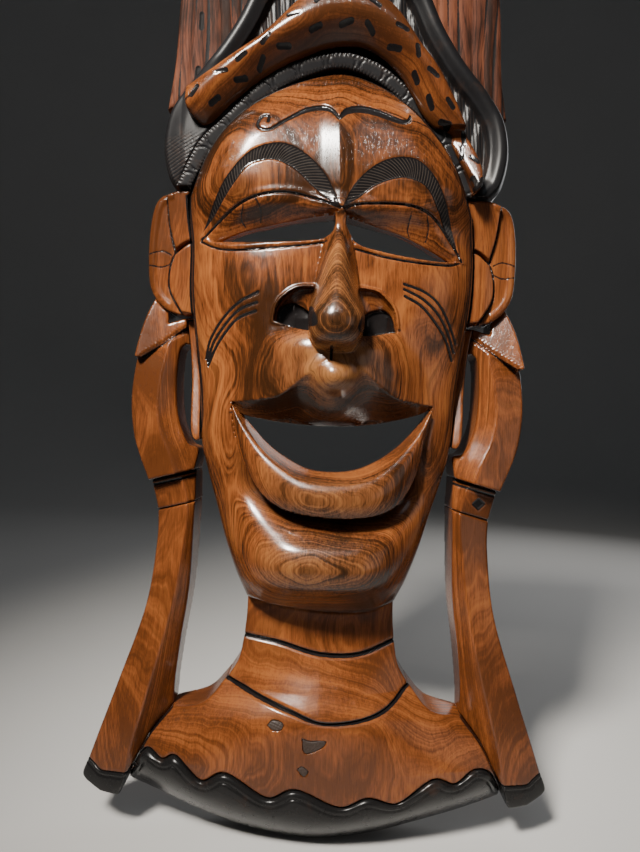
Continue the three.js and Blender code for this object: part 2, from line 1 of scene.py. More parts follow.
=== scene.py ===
"""The looks of a carved hardwood wall mask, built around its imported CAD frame.

Every wooden region is carved here at full detail: a plan grid in the plane of the mask carries its front
depth and its outline, the two become one solid field, and the field becomes a mesh. Lengths are in
millimetres while a piece is shaped: x to the viewer's right, z up from the lowest point of the hem, depth
forwards from the flat back.
"""

import math

import bpy
import numpy as np
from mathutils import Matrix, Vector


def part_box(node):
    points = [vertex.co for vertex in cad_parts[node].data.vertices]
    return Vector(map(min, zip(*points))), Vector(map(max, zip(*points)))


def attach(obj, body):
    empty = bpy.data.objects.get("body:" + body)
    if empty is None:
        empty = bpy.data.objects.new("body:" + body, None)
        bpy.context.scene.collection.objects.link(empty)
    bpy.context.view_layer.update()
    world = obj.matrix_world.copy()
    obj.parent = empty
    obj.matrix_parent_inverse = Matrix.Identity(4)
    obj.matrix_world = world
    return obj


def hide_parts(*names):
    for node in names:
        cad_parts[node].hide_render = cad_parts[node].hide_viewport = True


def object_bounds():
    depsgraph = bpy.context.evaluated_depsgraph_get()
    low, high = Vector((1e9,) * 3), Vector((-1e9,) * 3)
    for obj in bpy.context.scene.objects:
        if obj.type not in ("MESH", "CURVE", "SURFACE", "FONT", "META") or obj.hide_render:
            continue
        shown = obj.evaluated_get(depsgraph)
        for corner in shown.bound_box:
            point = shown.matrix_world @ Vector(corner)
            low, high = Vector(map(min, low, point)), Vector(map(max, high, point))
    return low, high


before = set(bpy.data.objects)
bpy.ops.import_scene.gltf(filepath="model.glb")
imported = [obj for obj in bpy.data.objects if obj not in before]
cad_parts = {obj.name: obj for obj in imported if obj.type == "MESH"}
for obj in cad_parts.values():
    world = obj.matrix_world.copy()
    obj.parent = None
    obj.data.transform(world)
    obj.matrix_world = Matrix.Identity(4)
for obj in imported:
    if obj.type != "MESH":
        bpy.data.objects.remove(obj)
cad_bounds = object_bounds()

import openvdb
from mathutils import Matrix, Vector

MM = 0.001
BACK_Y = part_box("bust")[1][1] / MM
BASE_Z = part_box("hem")[0][2] / MM
MASK = "mask"

# Driving dimensions of the carving
CELL = 0.65  # carving resolution
SIDE_STEP = 2.6  # resolution along the depth where only plain walls lie
ROUNDING = 1.4  # how far an edge is rounded over
FACE_EDGE_DEPTH = 37
NOSTRIL_DEPTH = 8
HAIR_DEPTH = 47
PANEL_DEPTH = 25
BRIM_DEPTH = 64
SHELL_WALL = 13
GOUGE_WIDTH, GOUGE_LENGTH, GOUGE_DEPTH = 11, 17, 1.3
RIM_WIDTH = 13
FEATURES_X = 3  # the nose, eyes and mouth sit a little right of the middle
FAR = 9.0  # distance recorded where no stain is near
STAIN_REACH = (4, 7)  # depths below the front over which stain and the painted shade fade out
SNUG = 0.05  # how far a piece stays inside its outline where a neighbour starts
NOTCH_STEP = 2.1  # along the edges of the hair band
BARB_STEP = 2.3  # between the scratched barbs of the brows and the hood's wing
FOLD_STEP = 2.2  # between the lines scratched in the hood's folds
FLUTE_WIDTH = 7.6
DASH_STEP = 17.5  # between the dashes of the brim
DASH_ROWS = ((0.28, 4.0), (0.7, 12.0))  # height as a share of the brim's, and shift along it
HOOD_FOLD_WIDTH = 8.5
TICK_STEP = 17.0  # between the pairs of cuts in the hair band
LOOP_CREST_DEPTH = 33.5
ARM_CREST_DEPTH = 34
BUST_EDGE_DEPTH = 24
EDGE_EASE = 0.15  # bevel of the steel parts


# ---------- curves and tables ----------

def smooth(points, steps=8):
    """A smooth curve through points."""
    p = np.array(points, float)
    padded = np.vstack([2 * p[0] - p[1], p, 2 * p[-1] - p[-2]])
    t = np.linspace(0, 1, steps, endpoint=False)[:, None]
    parts = []
    for a, b, c, d in zip(padded, padded[1:], padded[2:], padded[3:]):
        parts.append(0.5 * (2 * b + (c - a) * t + (2 * a - 5 * b + 4 * c - d) * t**2
                            + (3 * b - a - 3 * c + d) * t**3))
    return np.vstack([*parts, p[-1:]])


def outline(*stretches):
    """A closed outline of smooth stretches that meet at corners."""
    parts = [smooth(s) if len(s) > 2 else np.array(s, float) for s in stretches]
    points = np.vstack(parts)
    keep = np.linalg.norm(points - np.roll(points, 1, axis=0), axis=1) > 0.02
    return points[keep]


def flipped(points):
    """The mirror image of a list of points, kept in the same order."""
    return np.array(points, float) * [-1, 1]


def arch(side):
    """A smooth symmetrical arch, from the points of its right half."""
    return np.vstack([smooth(flipped(side[::-1])), smooth(side)[1:]])


def profile(table):
    """A smooth function through a table of positions and values."""
    dense = smooth(table, 12)
    return lambda position: np.interp(position, dense[:, 0], dense[:, 1])


def ramp(value, low, high):
    """0 below low, 1 above high, eased between."""
    t = np.clip((value - low) / (high - low), 0, 1)
    return t * t * (3 - 2 * t)


def hill(distance, radius):
    """A rounded hill: 1 at no distance, 0 from the radius on."""
    t = np.clip(distance / radius, 0, 1)
    return (1 - t * t) ** 2


def fade(distance, radius):
    """1 at no distance, falling in a straight line to 0 at the radius."""
    return np.clip(1 - distance / radius, 0, 1)


def cuts(phase):
    """Even V cuts across a phase: 1 along the middle of each cut, 0 between them."""
    return fade(np.abs(phase % 1 - 0.5), 0.3)


# ---------- the plan grid ----------

class Plan:
    """A grid over part of the mask's plane, with the maps that its carving needs."""

    def __init__(self, low, high, cell=CELL):
        self.cell = cell
        self.xs = np.arange(low[0] - 3 * cell, high[0] + 3.5 * cell, cell)
        self.zs = np.arange(low[1] - 3 * cell, high[1] + 3.5 * cell, cell)
        self.x, self.z = np.meshgrid(self.xs, self.zs, indexing="ij")
        self.stain = np.full(self.x.shape, FAR)
        self.hatch = np.zeros(self.x.shape)
        self.painted_shade = np.zeros(self.x.shape)

    def window(self, low, high, reach):
        """The slices of the grid within reach of a box."""
        across = slice(*np.searchsorted(self.xs, [low[0] - reach, high[0] + reach]))
        up = slice(*np.searchsorted(self.zs, [low[1] - reach, high[1] + reach]))
        return across, up

    def near(self, path, reach=14.0, closed=False):
        """Distance to a path out to reach, the length along it there, and the signed offset from it."""
        path = np.array(path, float)
        distance = np.full(self.x.shape, float(reach))
        length = np.zeros(self.x.shape)
        offset = np.full(self.x.shape, float(reach))
        ends = np.vstack([path, path[:1]]) if closed else path
        done = 0.0
        for start, end in zip(ends, ends[1:]):
            step = end - start
            size = math.hypot(*step)
            if size < 1e-9:
                continue
            cut = self.window(np.minimum(start, end), np.maximum(start, end), reach)
            dx, dz = self.x[cut] - start[0], self.z[cut] - start[1]
            share = np.clip((dx * step[0] + dz * step[1]) / size**2, 0, 1)
            gap = np.hypot(dx - share * step[0], dz - share * step[1])
            closer = gap < distance[cut]
            distance[cut][closer] = gap[closer]
            length[cut][closer] = (done + share * size)[closer]
            offset[cut][closer] = ((dx * step[1] - dz * step[0]) / size)[closer]
            done += size
        return distance, length, offset

    def gap(self, path, reach):
        """Distance to a path out to reach."""
        return self.near(path, reach)[0]

    def signed(self, shape, reach=30.0):
        """Signed distance to a closed outline: negative inside."""
        shape = np.array(shape, float)
        distance = self.near(shape, reach, closed=True)[0]
        inside = np.zeros(self.x.shape, bool)
        for (x0, z0), (x1, z1) in zip(shape, np.roll(shape, -1, axis=0)):
            rows = slice(*np.searchsorted(self.zs, sorted((z0, z1))))
            if rows.start == rows.stop:
                continue
            crossing = x0 + (self.zs[rows] - z0) / (z1 - z0) * (x1 - x0)
            inside[:, rows] ^= self.xs[:, None] < crossing[None, :]
        return np.where(inside, -distance, distance)

    def apart(self, edge, *others, gap=0.15):
        """An outline distance that also keeps clear of other outlines."""
        for other in others:
            edge = np.maximum(edge, gap - self.signed(other))
        return edge

    def darken(self, distance):
        """Adds a stained region, given by its signed distance."""
        self.stain = np.minimum(self.stain, distance)

    def paint_shade(self, share):
        """Adds painted shade where shade falls in hollows, under the lips and chin, along edges and on the
        brim: 0 is clean wood, 1 is nearly black.
        """
        self.painted_shade = np.maximum(self.painted_shade, share)


def engrave(plan, front, path, width, depth):
    """Cuts a V-shaped groove along a smooth path through points into the front, and stains it."""
    distance = plan.gap(smooth(path), width * 2 + 3)
    plan.darken(distance - width / 2)
    return front - depth * fade(distance, width * 0.62)


def stroke(plan, front, path, halves, depth):
    """Cuts a black stroke along a smooth path, with half widths given at even steps from end to end."""
    path = smooth(path)
    distance, run, _ = plan.near(path, 6)
    total = np.linalg.norm(np.diff(path, axis=0), axis=1).sum()
    edge = distance - np.interp(run / total, np.linspace(0, 1, len(halves)), halves)
    plan.darken(edge)
    return front - depth * ramp(-edge, -0.3, 0.9)


# ---------- from field to mesh ----------

def smooth_max(a, b, radius):
    """The larger of two fields, with the corner between them rounded."""
    share = np.clip(0.5 + 0.5 * (a - b) / radius, 0, 1)
    return b + (a - b) * share + radius * share * (1 - share)


def make_mesh(name, points, quads, triangles):
    """A smooth-shaded mesh from arrays of points and faces."""
    mesh = bpy.data.meshes.new(name)
    loops = np.concatenate([quads.ravel(), triangles.ravel()]).astype(np.int32)
    totals = np.concatenate([np.full(len(quads), 4), np.full(len(triangles), 3)])
    starts = np.concatenate([[0], np.cumsum(totals)[:-1]])
    mesh.vertices.add(len(points))
    mesh.vertices.foreach_set("co", points.astype(np.float32).ravel())
    mesh.loops.add(len(loops))
    mesh.loops.foreach_set("vertex_index", loops)
    mesh.polygons.add(len(totals))
    mesh.polygons.foreach_set("loop_start", starts.astype(np.int32))
    mesh.polygons.foreach_set("use_smooth", np.ones(len(totals), bool))
    mesh.update(calc_edges=True)
    mesh.validate()
    return mesh


def polygonise(field, place):
    """The zero surface of a field, with place turning grid indices into millimetres."""
    grid = openvdb.FloatGrid(3.0)
    grid.copyFromArray(np.ascontiguousarray(np.clip(field, -3, 3), dtype=np.float32))
    points, triangles, quads = grid.convertToPolygons(0.0, 0.0)
    points = place(points)
    corners = points[quads]
    spread = np.cross(corners[:, 2] - corners[:, 0], corners[:, 3] - corners[:, 1])
    if (spread * corners.mean(axis=1)).sum() < 0:
        quads, triangles = quads[:, ::-1], triangles[:, ::-1]
    return points, triangles, quads


def sample(plan, values, x, z):
    """Values of a plan map at points, read between the grid lines."""
    i = np.clip((x - plan.xs[0]) / plan.cell, 0, len(plan.xs) - 1.001)
    k = np.clip((z - plan.zs[0]) / plan.cell, 0, len(plan.zs) - 1.001)
    i0, k0 = i.astype(int), k.astype(int)
    u, w = i - i0, k - k0
    low = values[i0, k0] * (1 - u) + values[i0 + 1, k0] * u
    high = values[i0, k0 + 1] * (1 - u) + values[i0 + 1, k0 + 1] * u
    return low * (1 - w) + high * w


def carve(node, plan, front, edge, material, fine_from, back=None, rounding=ROUNDING, extra=None):
    """Turns a front depth and an outline distance into the piece that stands for a CAD node. The grid is
    fine from the depth fine_from forwards. What extra gives is cut away."""
    cell = plan.cell
    back = np.zeros_like(front) if back is None else back
    inside = edge < 0
    top = front[inside].max() + 3 * cell
    walls = np.arange(back[inside].min() - 2 * SIDE_STEP, fine_from, SIDE_STEP)
    depths = np.concatenate([walls, np.arange(fine_from, top + cell, cell)])
    across, up = np.gradient(front, cell)
    slope = np.sqrt(1 + across**2 + up**2)
    d = depths[None, :, None]
    field = (d - front[:, None, :]) / slope[:, None, :]
    field = smooth_max(field, edge[:, None, :], rounding)
    if extra is not None:
        field = np.maximum(field, extra(d))
    field = np.maximum(field, back[:, None, :] - d)

    def place(index):
        x = plan.xs[0] + index[:, 0] * cell
        depth = np.interp(index[:, 1], np.arange(len(depths)), depths)
        z = plan.zs[0] + index[:, 2] * cell
        return np.stack([x, BACK_Y - depth, BASE_Z + z], axis=1)

    points, triangles, quads = polygonise(field / cell, place)
    mesh = make_mesh(node + "_carving", points * MM, quads, triangles)
    x, z = points[:, 0], points[:, 2] - BASE_Z
    buried = ramp(sample(plan, front, x, z) - (BACK_Y - points[:, 1]), *STAIN_REACH)
    maps = {
        "stain": sample(plan, plan.stain, x, z) + FAR * buried,
        "hatch": sample(plan, plan.hatch, x, z),
        "painted_shade": sample(plan, plan.painted_shade, x, z) * (1 - buried),
    }
    for label, values in maps.items():
        layer = mesh.attributes.new(label, "FLOAT", "POINT")
        layer.data.foreach_set("value", values.astype(np.float32))
    piece = bpy.data.objects.new(node + "_carving", mesh)
    bpy.context.collection.objects.link(piece)
    mesh.materials.append(material)
    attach(piece, MASK)
    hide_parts(node)


# ---------- outlines of the pieces ----------

HAIRLINE = [[-90, 394], [-79, 415], [-65, 432.5], [-46, 450], [-23, 463.5], [2, 470.5], [24, 463], [42, 449],
            [57, 432], [70, 415], [78, 398], [84, 385]]
JAW = [[86, 362], [85.5, 335], [82, 305], [78, 275], [76, 245], [71, 225], [65, 205], [59, 184], [52, 165],
       [45, 151]]
NECK_RINGS = [
    [[-45, 151], [-26, 147.5], [0, 144.5], [26, 144.5], [45, 151]],
    [[-46.5, 125], [-25, 122.5], [0, 117], [25, 117], [46.5, 125]],
    [[-56.5, 97.5], [-35, 91.5], [-15, 86], [3, 81], [25, 82], [42, 87], [56.5, 97.5]],
]
FACE = outline(HAIRLINE, [HAIRLINE[-1], *JAW], NECK_RINGS[0][::-1],
               [*flipped(JAW[::-1]), [-88.5, 380], HAIRLINE[0]])
HAIR_TOP = [[-97, 399], [-84, 425], [-68, 441], [-50, 458], [-28, 471.5], [0, 479], [20, 475], [35, 466],
            [52, 451], [66, 438], [77, 421], [86, 397]]
HAIR = outline(HAIR_TOP, [HAIR_TOP[-1], [60, 405], [0, 455], [-60, 405], HAIR_TOP[0]])
HOOD_SIDE = [[0, 546], [30, 540], [51, 524], [64, 500], [77, 481], [94, 462], [103.5, 446], [106.5, 426],
             [103, 407], [97, 398.5]]
HOOD_FOOT = [[97, 398.5], [80, 398.5], [70, 420], [0, 470], [-70, 420], [-80, 398.5], [-97, 398.5]]
HOOD_RIM = arch(HOOD_SIDE)
HOOD = np.vstack([HOOD_RIM, HOOD_FOOT[1:-1]])
PANEL_SIDE = [[0, 562], [45, 560], [80, 552], [97, 538], [101, 520], [103, 482], [107, 452]]
PANEL_FOOT = [[80, 452], [0, 480], [-80, 452]]
PANEL = np.vstack([arch(PANEL_SIDE), PANEL_FOOT])
BRIM_FOOT = [[-81, 434], [-75, 436], [-62, 448], [-44, 462.5], [-24, 473], [-2, 480.5], [17, 479.5],
             [36, 465.5], [52, 441.5], [68, 427.5], [79, 408], [83, 397]]
BRIM_TOP = [[83, 397], [87.5, 404], [83.5, 422.5], [62, 463.5], [47.5, 481.5], [34, 499], [18, 510],
            [0, 513], [-18, 509], [-43, 486], [-54.5, 478], [-91, 455]]
BRIM = outline(BRIM_FOOT, BRIM_TOP, [[-91, 455], [-90, 443], [-81, 434]])
EAR = outline([[80, 397], [100, 397.6], [110, 393], [114, 378], [114.7, 355], [112.5, 338], [104, 326.5],
               [92, 322], [80, 322]])
LOOP = outline(
    [[108.5, 336], [115.5, 320], [120.5, 297], [122.5, 272], [120, 250], [115, 234], [108.3, 219]],
    [[108.3, 219], [80.5, 226.5]],
    [[80.5, 226.5], [79.5, 239], [86, 243], [92.5, 259], [94.5, 280], [93.5, 299], [90.5, 304.5]],
    [[90.5, 304.5], [86, 306], [86, 320.5], [101, 317]],
    [[101, 317], [102.5, 332], [108.5, 336]],
)
STRIP = outline([[80, 320], [89.8, 319.5]],
                [[89.8, 319.5], [87.2, 302], [85, 282], [84, 262], [82.8, 250], [79.5, 244.5], [74, 247]])
ARM_BAND = outline([[80.5, 226.5], [108.3, 219]], [[103.5, 200], [79.7, 207]])
ARM_FOOT = [[142.5, 42], [137, 39], [133, 36.8], [124.5, 37.5], [115.5, 38.5]]
ARM = outline([[103.5, 200], [103.5, 180], [109, 140], [125, 92], [138, 55], [142.5, 42]], ARM_FOOT,
              [[115.5, 38.5], [110, 48], [102, 63], [91, 76.5]],
              [[91, 76.5], [90, 93], [87, 118], [82, 155], [79.7, 207]])
FOOT_HEM = outline([[142.5, 42], [146.3, 32], [144, 28.5]], [[133, 24], [120, 24]], ARM_FOOT[::-1])
NECK_SIDES = [[[45, 151], [45.3, 138], [46.5, 125]], [[46.5, 125], [49.5, 110], [56.5, 97.5]]]
NECK_UPPER, NECK_LOWER = [
    outline(upper, side, lower[::-1], flipped(side[::-1]))
    for upper, side, lower in zip(NECK_RINGS, NECK_SIDES, NECK_RINGS[1:])
]
COLLAR = [[56.5, 97.5], [70, 83], [91, 76.5]]
SHOULDER = [[91, 76.5], [102, 63], [110, 48], [118, 30]]
SCALLOPS = [[-118, 30], [-105, 53.5], [-93, 50], [-84, 53], [-68, 40.5], [-53, 47], [-28, 34.5], [-11, 40.5],
            [15, 31], [32, 36.5], [50, 32.8], [71, 46], [85, 42], [97, 49.5], [108, 46], [118, 30]]
BUST = outline(NECK_RINGS[2], COLLAR, SHOULDER,
               SCALLOPS[::-1], flipped(SHOULDER[::-1]), flipped(COLLAR[::-1]))
HEM_FOOT = [[-120, 24], [-100, 20], [-64, 10], [-35, 3.8], [0, 0], [35, 3.8], [64, 10], [100, 17], [120, 21]]
HEM = outline(SCALLOPS, [[118, 30], [120, 21]], HEM_FOOT[::-1])
FILLERS = [
    outline([[-29, 78], [-26, 81], [-20, 80], [-20.5, 76.5], [-25, 75.5], [-29, 78]]),
    outline([[-8, 72], [-3, 70.5], [5.5, 71], [3.5, 67], [-6, 63.5], [-8, 72]]),
    outline([[-10.5, 53.5], [-7, 55], [-4, 52.5], [-6.5, 49.5], [-10.5, 53.5]]),
]


# ---------- materials ----------

class Shader:
    """A material under construction, with a short way to add each kind of node."""

    def __init__(self, name):
        self.material = bpy.data.materials.new(name)
        self.material.use_nodes = True
        self.nodes = self.material.node_tree.nodes
        self.links = self.material.node_tree.links
        self.nodes.clear()
        place = self.add("ShaderNodeTexCoord").outputs["Object"]
        self.place = self.add("ShaderNodeMapping", {"Vector": place, "Scale": (1000, 1000, 1000)}).outputs[0]

    def add(self, kind, inputs=(), **settings):
        """Adds a node. An input is a number, a colour, or the output of another node."""
        node = self.nodes.new(kind)
        for name, value in settings.items():
            setattr(node, name, value)
        for key, value in dict(inputs).items():
            if isinstance(value, bpy.types.NodeSocket):
                self.links.new(value, node.inputs[key])
            else:
                node.inputs[key].default_value = value
        return node

    def maths(self, operation, *values):
        return self.add("ShaderNodeMath", enumerate(values), operation=operation).outputs[0]

    def times(self, a, b):
        return self.maths("MULTIPLY", a, b)

    def plus(self, a, b):
        return self.maths("ADD", a, b)

    def inverse(self, value):
        return self.maths("SUBTRACT", 1.0, value)

    def noise(self, scale, detail=2.0, stretch=(1, 1, 1), vector=None, roughness=0.5):
        vector = self.place if vector is None else vector
        spread = self.add("ShaderNodeMapping", {"Vector": vector, "Scale": stretch}).outputs[0]
        settings = {"Vector": spread, "Scale": scale, "Detail": detail, "Roughness": roughness}
        return self.add("ShaderNodeTexNoise", settings).outputs[0]

    def ramp(self, value, *stops):
        node = self.add("ShaderNodeValToRGB", {"Fac": value})
        elements = node.color_ramp.elements
        while len(elements) < len(stops):
            elements.new(0.5)
        for element, (position, _) in zip(elements, sorted(stops)):
            element.position = position
        for element, (_, colour) in zip(elements, sorted(stops)):
            element.color = (*colour, 1)
        return node.outputs[0]

    def steps(self, value, low, high):
        """0 below low, 1 above high, eased between."""
        return self.add("ShaderNodeMapRange", {"Value": value, "From Min": low, "From Max": high},
                        interpolation_type="SMOOTHSTEP").outputs[0]

    def mix(self, share, a, b, blend="MIX"):
        """A mix of two colours, each the output of a node or its red, green and blue."""
        a, b = (c if isinstance(c, bpy.types.NodeSocket) else (*c, 1) for c in (a, b))
        inputs = {0: share, 6: a, 7: b}
        return self.add("ShaderNodeMix", inputs, data_type="RGBA", blend_type=blend).outputs[2]

    def attribute(self, name):
        return self.add("ShaderNodeAttribute", attribute_name=name, attribute_type="GEOMETRY").outputs["Fac"]

    def scratches(self, low, high):
        """1 along the lines of the "hatch" map, 0 between them."""
        hatch = self.maths("FRACT", self.attribute("hatch"))
        return self.inverse(self.steps(self.maths("ABSOLUTE", self.plus(hatch, -0.5)), low, high))

    def fibres(self):
        """Fine streaks along the grain."""
        return self.noise(1.1, 3.0, stretch=(1, 1, 0.06), roughness=0.7)

    def finish(self, colour, roughness, height, bump_distance, coat=0.0, coat_roughness=0.1,
               metallic=0.0, ior=1.5):
        """The surface and its output. Bump distance is in millimetres."""
        bump = self.add("ShaderNodeBump", {"Height": height, "Strength": 1.0,
                                           "Distance": bump_distance * MM})
        surface = self.add("ShaderNodeBsdfPrincipled", {
            "Base Color": colour, "Roughness": roughness, "Normal": bump.outputs[0], "Coat Weight": coat,
            "Coat Roughness": coat_roughness, "Metallic": metallic, "IOR": ior})
        self.add("ShaderNodeOutputMaterial", {"Surface": surface.outputs[0]})
        return self.material


PITH_X = 14.0
PITH_BEHIND = 170.0
SAPWOOD = (58, 78)  # distances in front of the origin over which the wood turns paler


def carved_wood(name, dark, middle, light, blackened=0.0, coat=0.12, polish=0.14, ior=1.42):
    """Oiled and polished rosewood. Growth rings run round a pith far behind the mask, so that every carved
    form shows its own contour lines, and the "stain" map turns regions black."""
    s = Shader(name)
    warp = s.noise(0.010, 2.0, stretch=(1, 1, 0.45))
    ripple = s.noise(0.045, 2.0, stretch=(1, 1, 0.3))
    split = s.add("ShaderNodeSeparateXYZ", {"Vector": s.place})
    across = s.plus(split.outputs[0], -PITH_X)
    behind = s.plus(split.outputs[1], -PITH_BEHIND)
    ring = s.maths("SQRT", s.plus(s.times(across, across), s.times(behind, behind)))
    ring = s.plus(ring, s.times(warp, 22.0))
    ring = s.plus(ring, s.times(ripple, 4.0))
    layers = s.add("ShaderNodeCombineXYZ", {0: ring, 1: 0.0, 2: s.times(split.outputs[2], 0.004)})
    bands = s.noise(0.42, 2.0, vector=layers.outputs[0], roughness=0.6)
    fine_bands = s.noise(1.7, 2.0, vector=layers.outputs[0], roughness=0.6)
    broad_bands = s.noise(0.09, 1.0, vector=layers.outputs[0])
    fibres = s.fibres()
    flecks = s.noise(0.5, 3.0, stretch=(1, 1, 0.12), roughness=0.7)
    clouds = s.noise(0.020, 2.0)
    figure = s.times(bands, 0.42)
    weights = ((fine_bands, 0.34), (broad_bands, 0.20), (fibres, 0.20), (flecks, 0.20), (clouds, 0.48))
    for pattern, weight in weights:
        figure = s.plus(figure, s.times(pattern, weight))
    figure = s.steps(figure, 0.80, 1.10)
    wood = s.ramp(figure, (0.0, dark), (1.0, light), (0.42, middle))
    line = s.steps(s.noise(0.95, 1.0, vector=layers.outputs[0]), 0.585, 0.66)
    wood = s.mix(s.times(line, 0.42), wood, dark)
    pores = s.noise(2.2, 2.0, stretch=(1, 1, 0.04), roughness=0.6)
    pore = s.steps(pores, 0.58, 0.68)
    wood = s.mix(s.times(pore, 0.42), wood, tuple(c * 0.5 for c in dark))
    outer = s.plus(s.times(split.outputs[1], -1.0), s.times(warp, 16.0))
    sapwood = s.times(s.steps(outer, *SAPWOOD), 0.8)
    wood = s.mix(sapwood, wood, (0.82, 1.12, 1.5), blend="MULTIPLY")
    # Painted shade: the wood turns nearly black where the plan's shade map marks hollows, undersides and
    # edges.
    wood = s.mix(s.attribute("painted_shade"), wood, (0.010, 0.006, 0.004))
    if blackened:
        soot = s.steps(s.noise(0.03, 2.0), 0.35, 0.65)
        wood = s.mix(s.times(soot, blackened), wood, (0.012, 0.010, 0.010))
    # Besides real stain, this map blackens the inside of the nostril holes as painted shade.
    stain = s.attribute("stain")
    ragged = s.plus(stain, s.times(s.plus(s.noise(0.6, 2.0), -0.5), 0.5))
    black = s.inverse(s.steps(ragged, -0.15, 0.25))
    deep = s.inverse(s.steps(stain, -0.9, -0.5))
    cut_line = s.times(s.scratches(0.08, 0.2), deep)
    soot_colour = s.mix(s.noise(0.25, 3.0), (0.005, 0.004, 0.004), (0.014, 0.012, 0.012))
    soot_colour = s.mix(s.times(cut_line, 0.4), soot_colour, (0.07, 0.055, 0.045))
    colour = s.mix(black, wood, soot_colour)
    height = s.plus(s.times(pore, -0.5), s.times(fibres, 0.35))
    roughness = s.plus(s.times(s.noise(0.2, 3.0), 0.12), polish)
    roughness = s.plus(roughness, s.times(black, -0.04))
    return s.finish(colour, roughness, height, 0.05, coat=coat, coat_roughness=0.08, ior=ior)


def black_stain(name, dark, light, polish):
    """Black stain rubbed over carved wood, with the brown of the wood just showing in places."""
    s = Shader(name)
    fibres = s.fibres()
    worn = s.steps(s.noise(0.06, 4.0, roughness=0.65), 0.55, 0.75)
    colour = s.mix(fibres, dark, light)
    colour = s.mix(s.times(worn, 0.5), colour, (0.045, 0.024, 0.016))
    colour = s.mix(s.times(s.scratches(0.05, 0.14), 0.45), colour, (0.07, 0.05, 0.04))
    roughness = s.plus(s.times(s.noise(0.15, 3.0), 0.12), polish)
    return s.finish(colour, roughness, s.times(fibres, 0.5), 0.05, ior=1.34)


def dull_filler(name):
    s = Shader(name)
    grain = s.noise(0.9, 4.0, roughness=0.7)
    colour = s.mix(grain, (0.010, 0.006, 0.004), (0.045, 0.024, 0.015))
    return s.finish(colour, s.plus(s.times(grain, 0.2), 0.42), grain, 0.25, coat=0.15)


def zinc_steel(name):
    s = Shader(name)
    brushed = s.noise(2.6, 3.0, stretch=(1, 1, 0.12), roughness=0.7)
    spots = s.steps(s.noise(0.5, 3.0), 0.52, 0.72)
    colour = s.mix(brushed, (0.42, 0.42, 0.41), (0.62, 0.61, 0.58))
    colour = s.mix(s.times(spots, 0.4), colour, (0.24, 0.21, 0.18))
    roughness = s.plus(s.times(brushed, 0.15), 0.26)
    return s.finish(colour, roughness, brushed, 0.02, metallic=1.0)


ROSEWOOD = carved_wood("rosewood", (0.080, 0.024, 0.007), (0.160, 0.046, 0.013), (0.26, 0.084, 0.022))
PALE_ROSEWOOD = carved_wood("pale_rosewood", (0.030, 0.010, 0.003), (0.150, 0.043, 0.012),
                            (0.28, 0.092, 0.024))
DARK_ROSEWOOD = carved_wood("dark_rosewood", (0.022, 0.008, 0.004), (0.115, 0.036, 0.018),
                            (0.20, 0.068, 0.033), blackened=0.25, coat=0.0, polish=0.58, ior=1.22)
BLACK = black_stain("black_stain", (0.005, 0.005, 0.005), (0.014, 0.013, 0.013), 0.20)
SATIN_BLACK = black_stain("satin_black_stain", (0.006, 0.006, 0.007), (0.015, 0.014, 0.015), 0.32)
FILLER = dull_filler("filler")
STEEL = zinc_steel("zinc_steel")


# ---------- the face ----------

MIDDLE_DEPTH = profile([[140, 40], [145, 44], [150, 52], [157, 61], [164, 68.5], [170, 72], [176, 73],
                        [184, 70.5], [193, 66], [204, 62.5], [218, 60.5], [240, 60], [300, 61.5], [345, 60],
                        [372, 59.5], [384, 63], [394, 64], [410, 63.2], [425, 61.3], [438, 58],
                        [455, 51.5], [475, 43]])
HALF_WIDTH = profile([[140, 44], [150, 45], [165, 52], [184, 59], [205, 65], [225, 71], [245, 76], [275, 78],
                      [305, 82], [335, 86], [362, 87], [480, 88]])
NOSE_HALF = profile([[296, 8], [300, 11.5], [305, 14.2], [312, 15.6], [320, 15.6], [328, 14.4], [338, 12.6],
                     [352, 10.4], [366, 7.4], [378, 4.6], [386, 3]])
NOSE_RISE = profile([[295, 0], [297, 16], [299.5, 25.5], [303, 31], [307, 34], [312, 35.5], [318, 34.8],
                     [326, 31.5], [338, 25], [352, 16.5], [366, 8.5], [378, 3], [386, 0]])
MUZZLE_HALF = profile([[250, 66], [268, 63], [300, 52], [330, 39], [345, 34]])
MUZZLE_HEIGHT = 290
MUZZLE_REACH = 44
MUZZLE_RISE = 15.5
SWELLS = (  # rise, place beside the middle line, and radii
    (2.2, (23, 303), (20, 13)),  # beside the nose's foot
    (1.0, (54, 338), (34, 24)),  # cheekbones
    (-2.5, (58, 292), (24, 36)),  # hollows of the cheeks
    (-0.8, (40, 368), (46, 16)),  # eye sockets
    (4.5, (0, 378), (30, 15)),  # root of the nose
)
LOWER_LIP_DEPTH = 74.5
LOWER_LIP_BEVEL = 13
LIP_BEAD = 5.5
MOUTH_HALF_WIDTH = 61
UPPER_LIP_INNER_DEPTH = 49.5  # of the upper lip's back edge, along the opening
LIP_TOP = profile([[-60, 268.5], [-43, 270], [-30, 272], [-23.5, 275.5], [-15, 282.5], [-5, 290], [3, 293.5],
                   [7.5, 294], [14.5, 291.5], [20.5, 287], [31, 278], [40.5, 273], [51, 271.5], [63, 270]])
MOUTH_TOP = [[-56, 267.5], [-50, 261.5], [-36, 258.5], [-14, 256.3], [2, 256], [21, 257], [38, 260],
             [54, 264.5], [62, 268.5]]
MOUTH_FOOT = [[62, 268.5], [54, 257.5], [43, 245.5], [31, 236.8], [18.5, 231], [5.5, 229], [-8.5, 230],
              [-20.5, 235], [-34, 244], [-46, 256.3], [-56, 267.5]]
MOUTH = outline(MOUTH_TOP, MOUTH_FOOT)
LOWER_LIP = [[-57, 268.5], [-54.8, 251.5], [-49, 234.5], [-39, 218.5], [-28.5, 210], [-16.5, 206], [2, 204],
             [22.5, 204.5], [35, 207.5], [45, 214.5], [53, 228.5], [57.5, 246], [62, 269]]


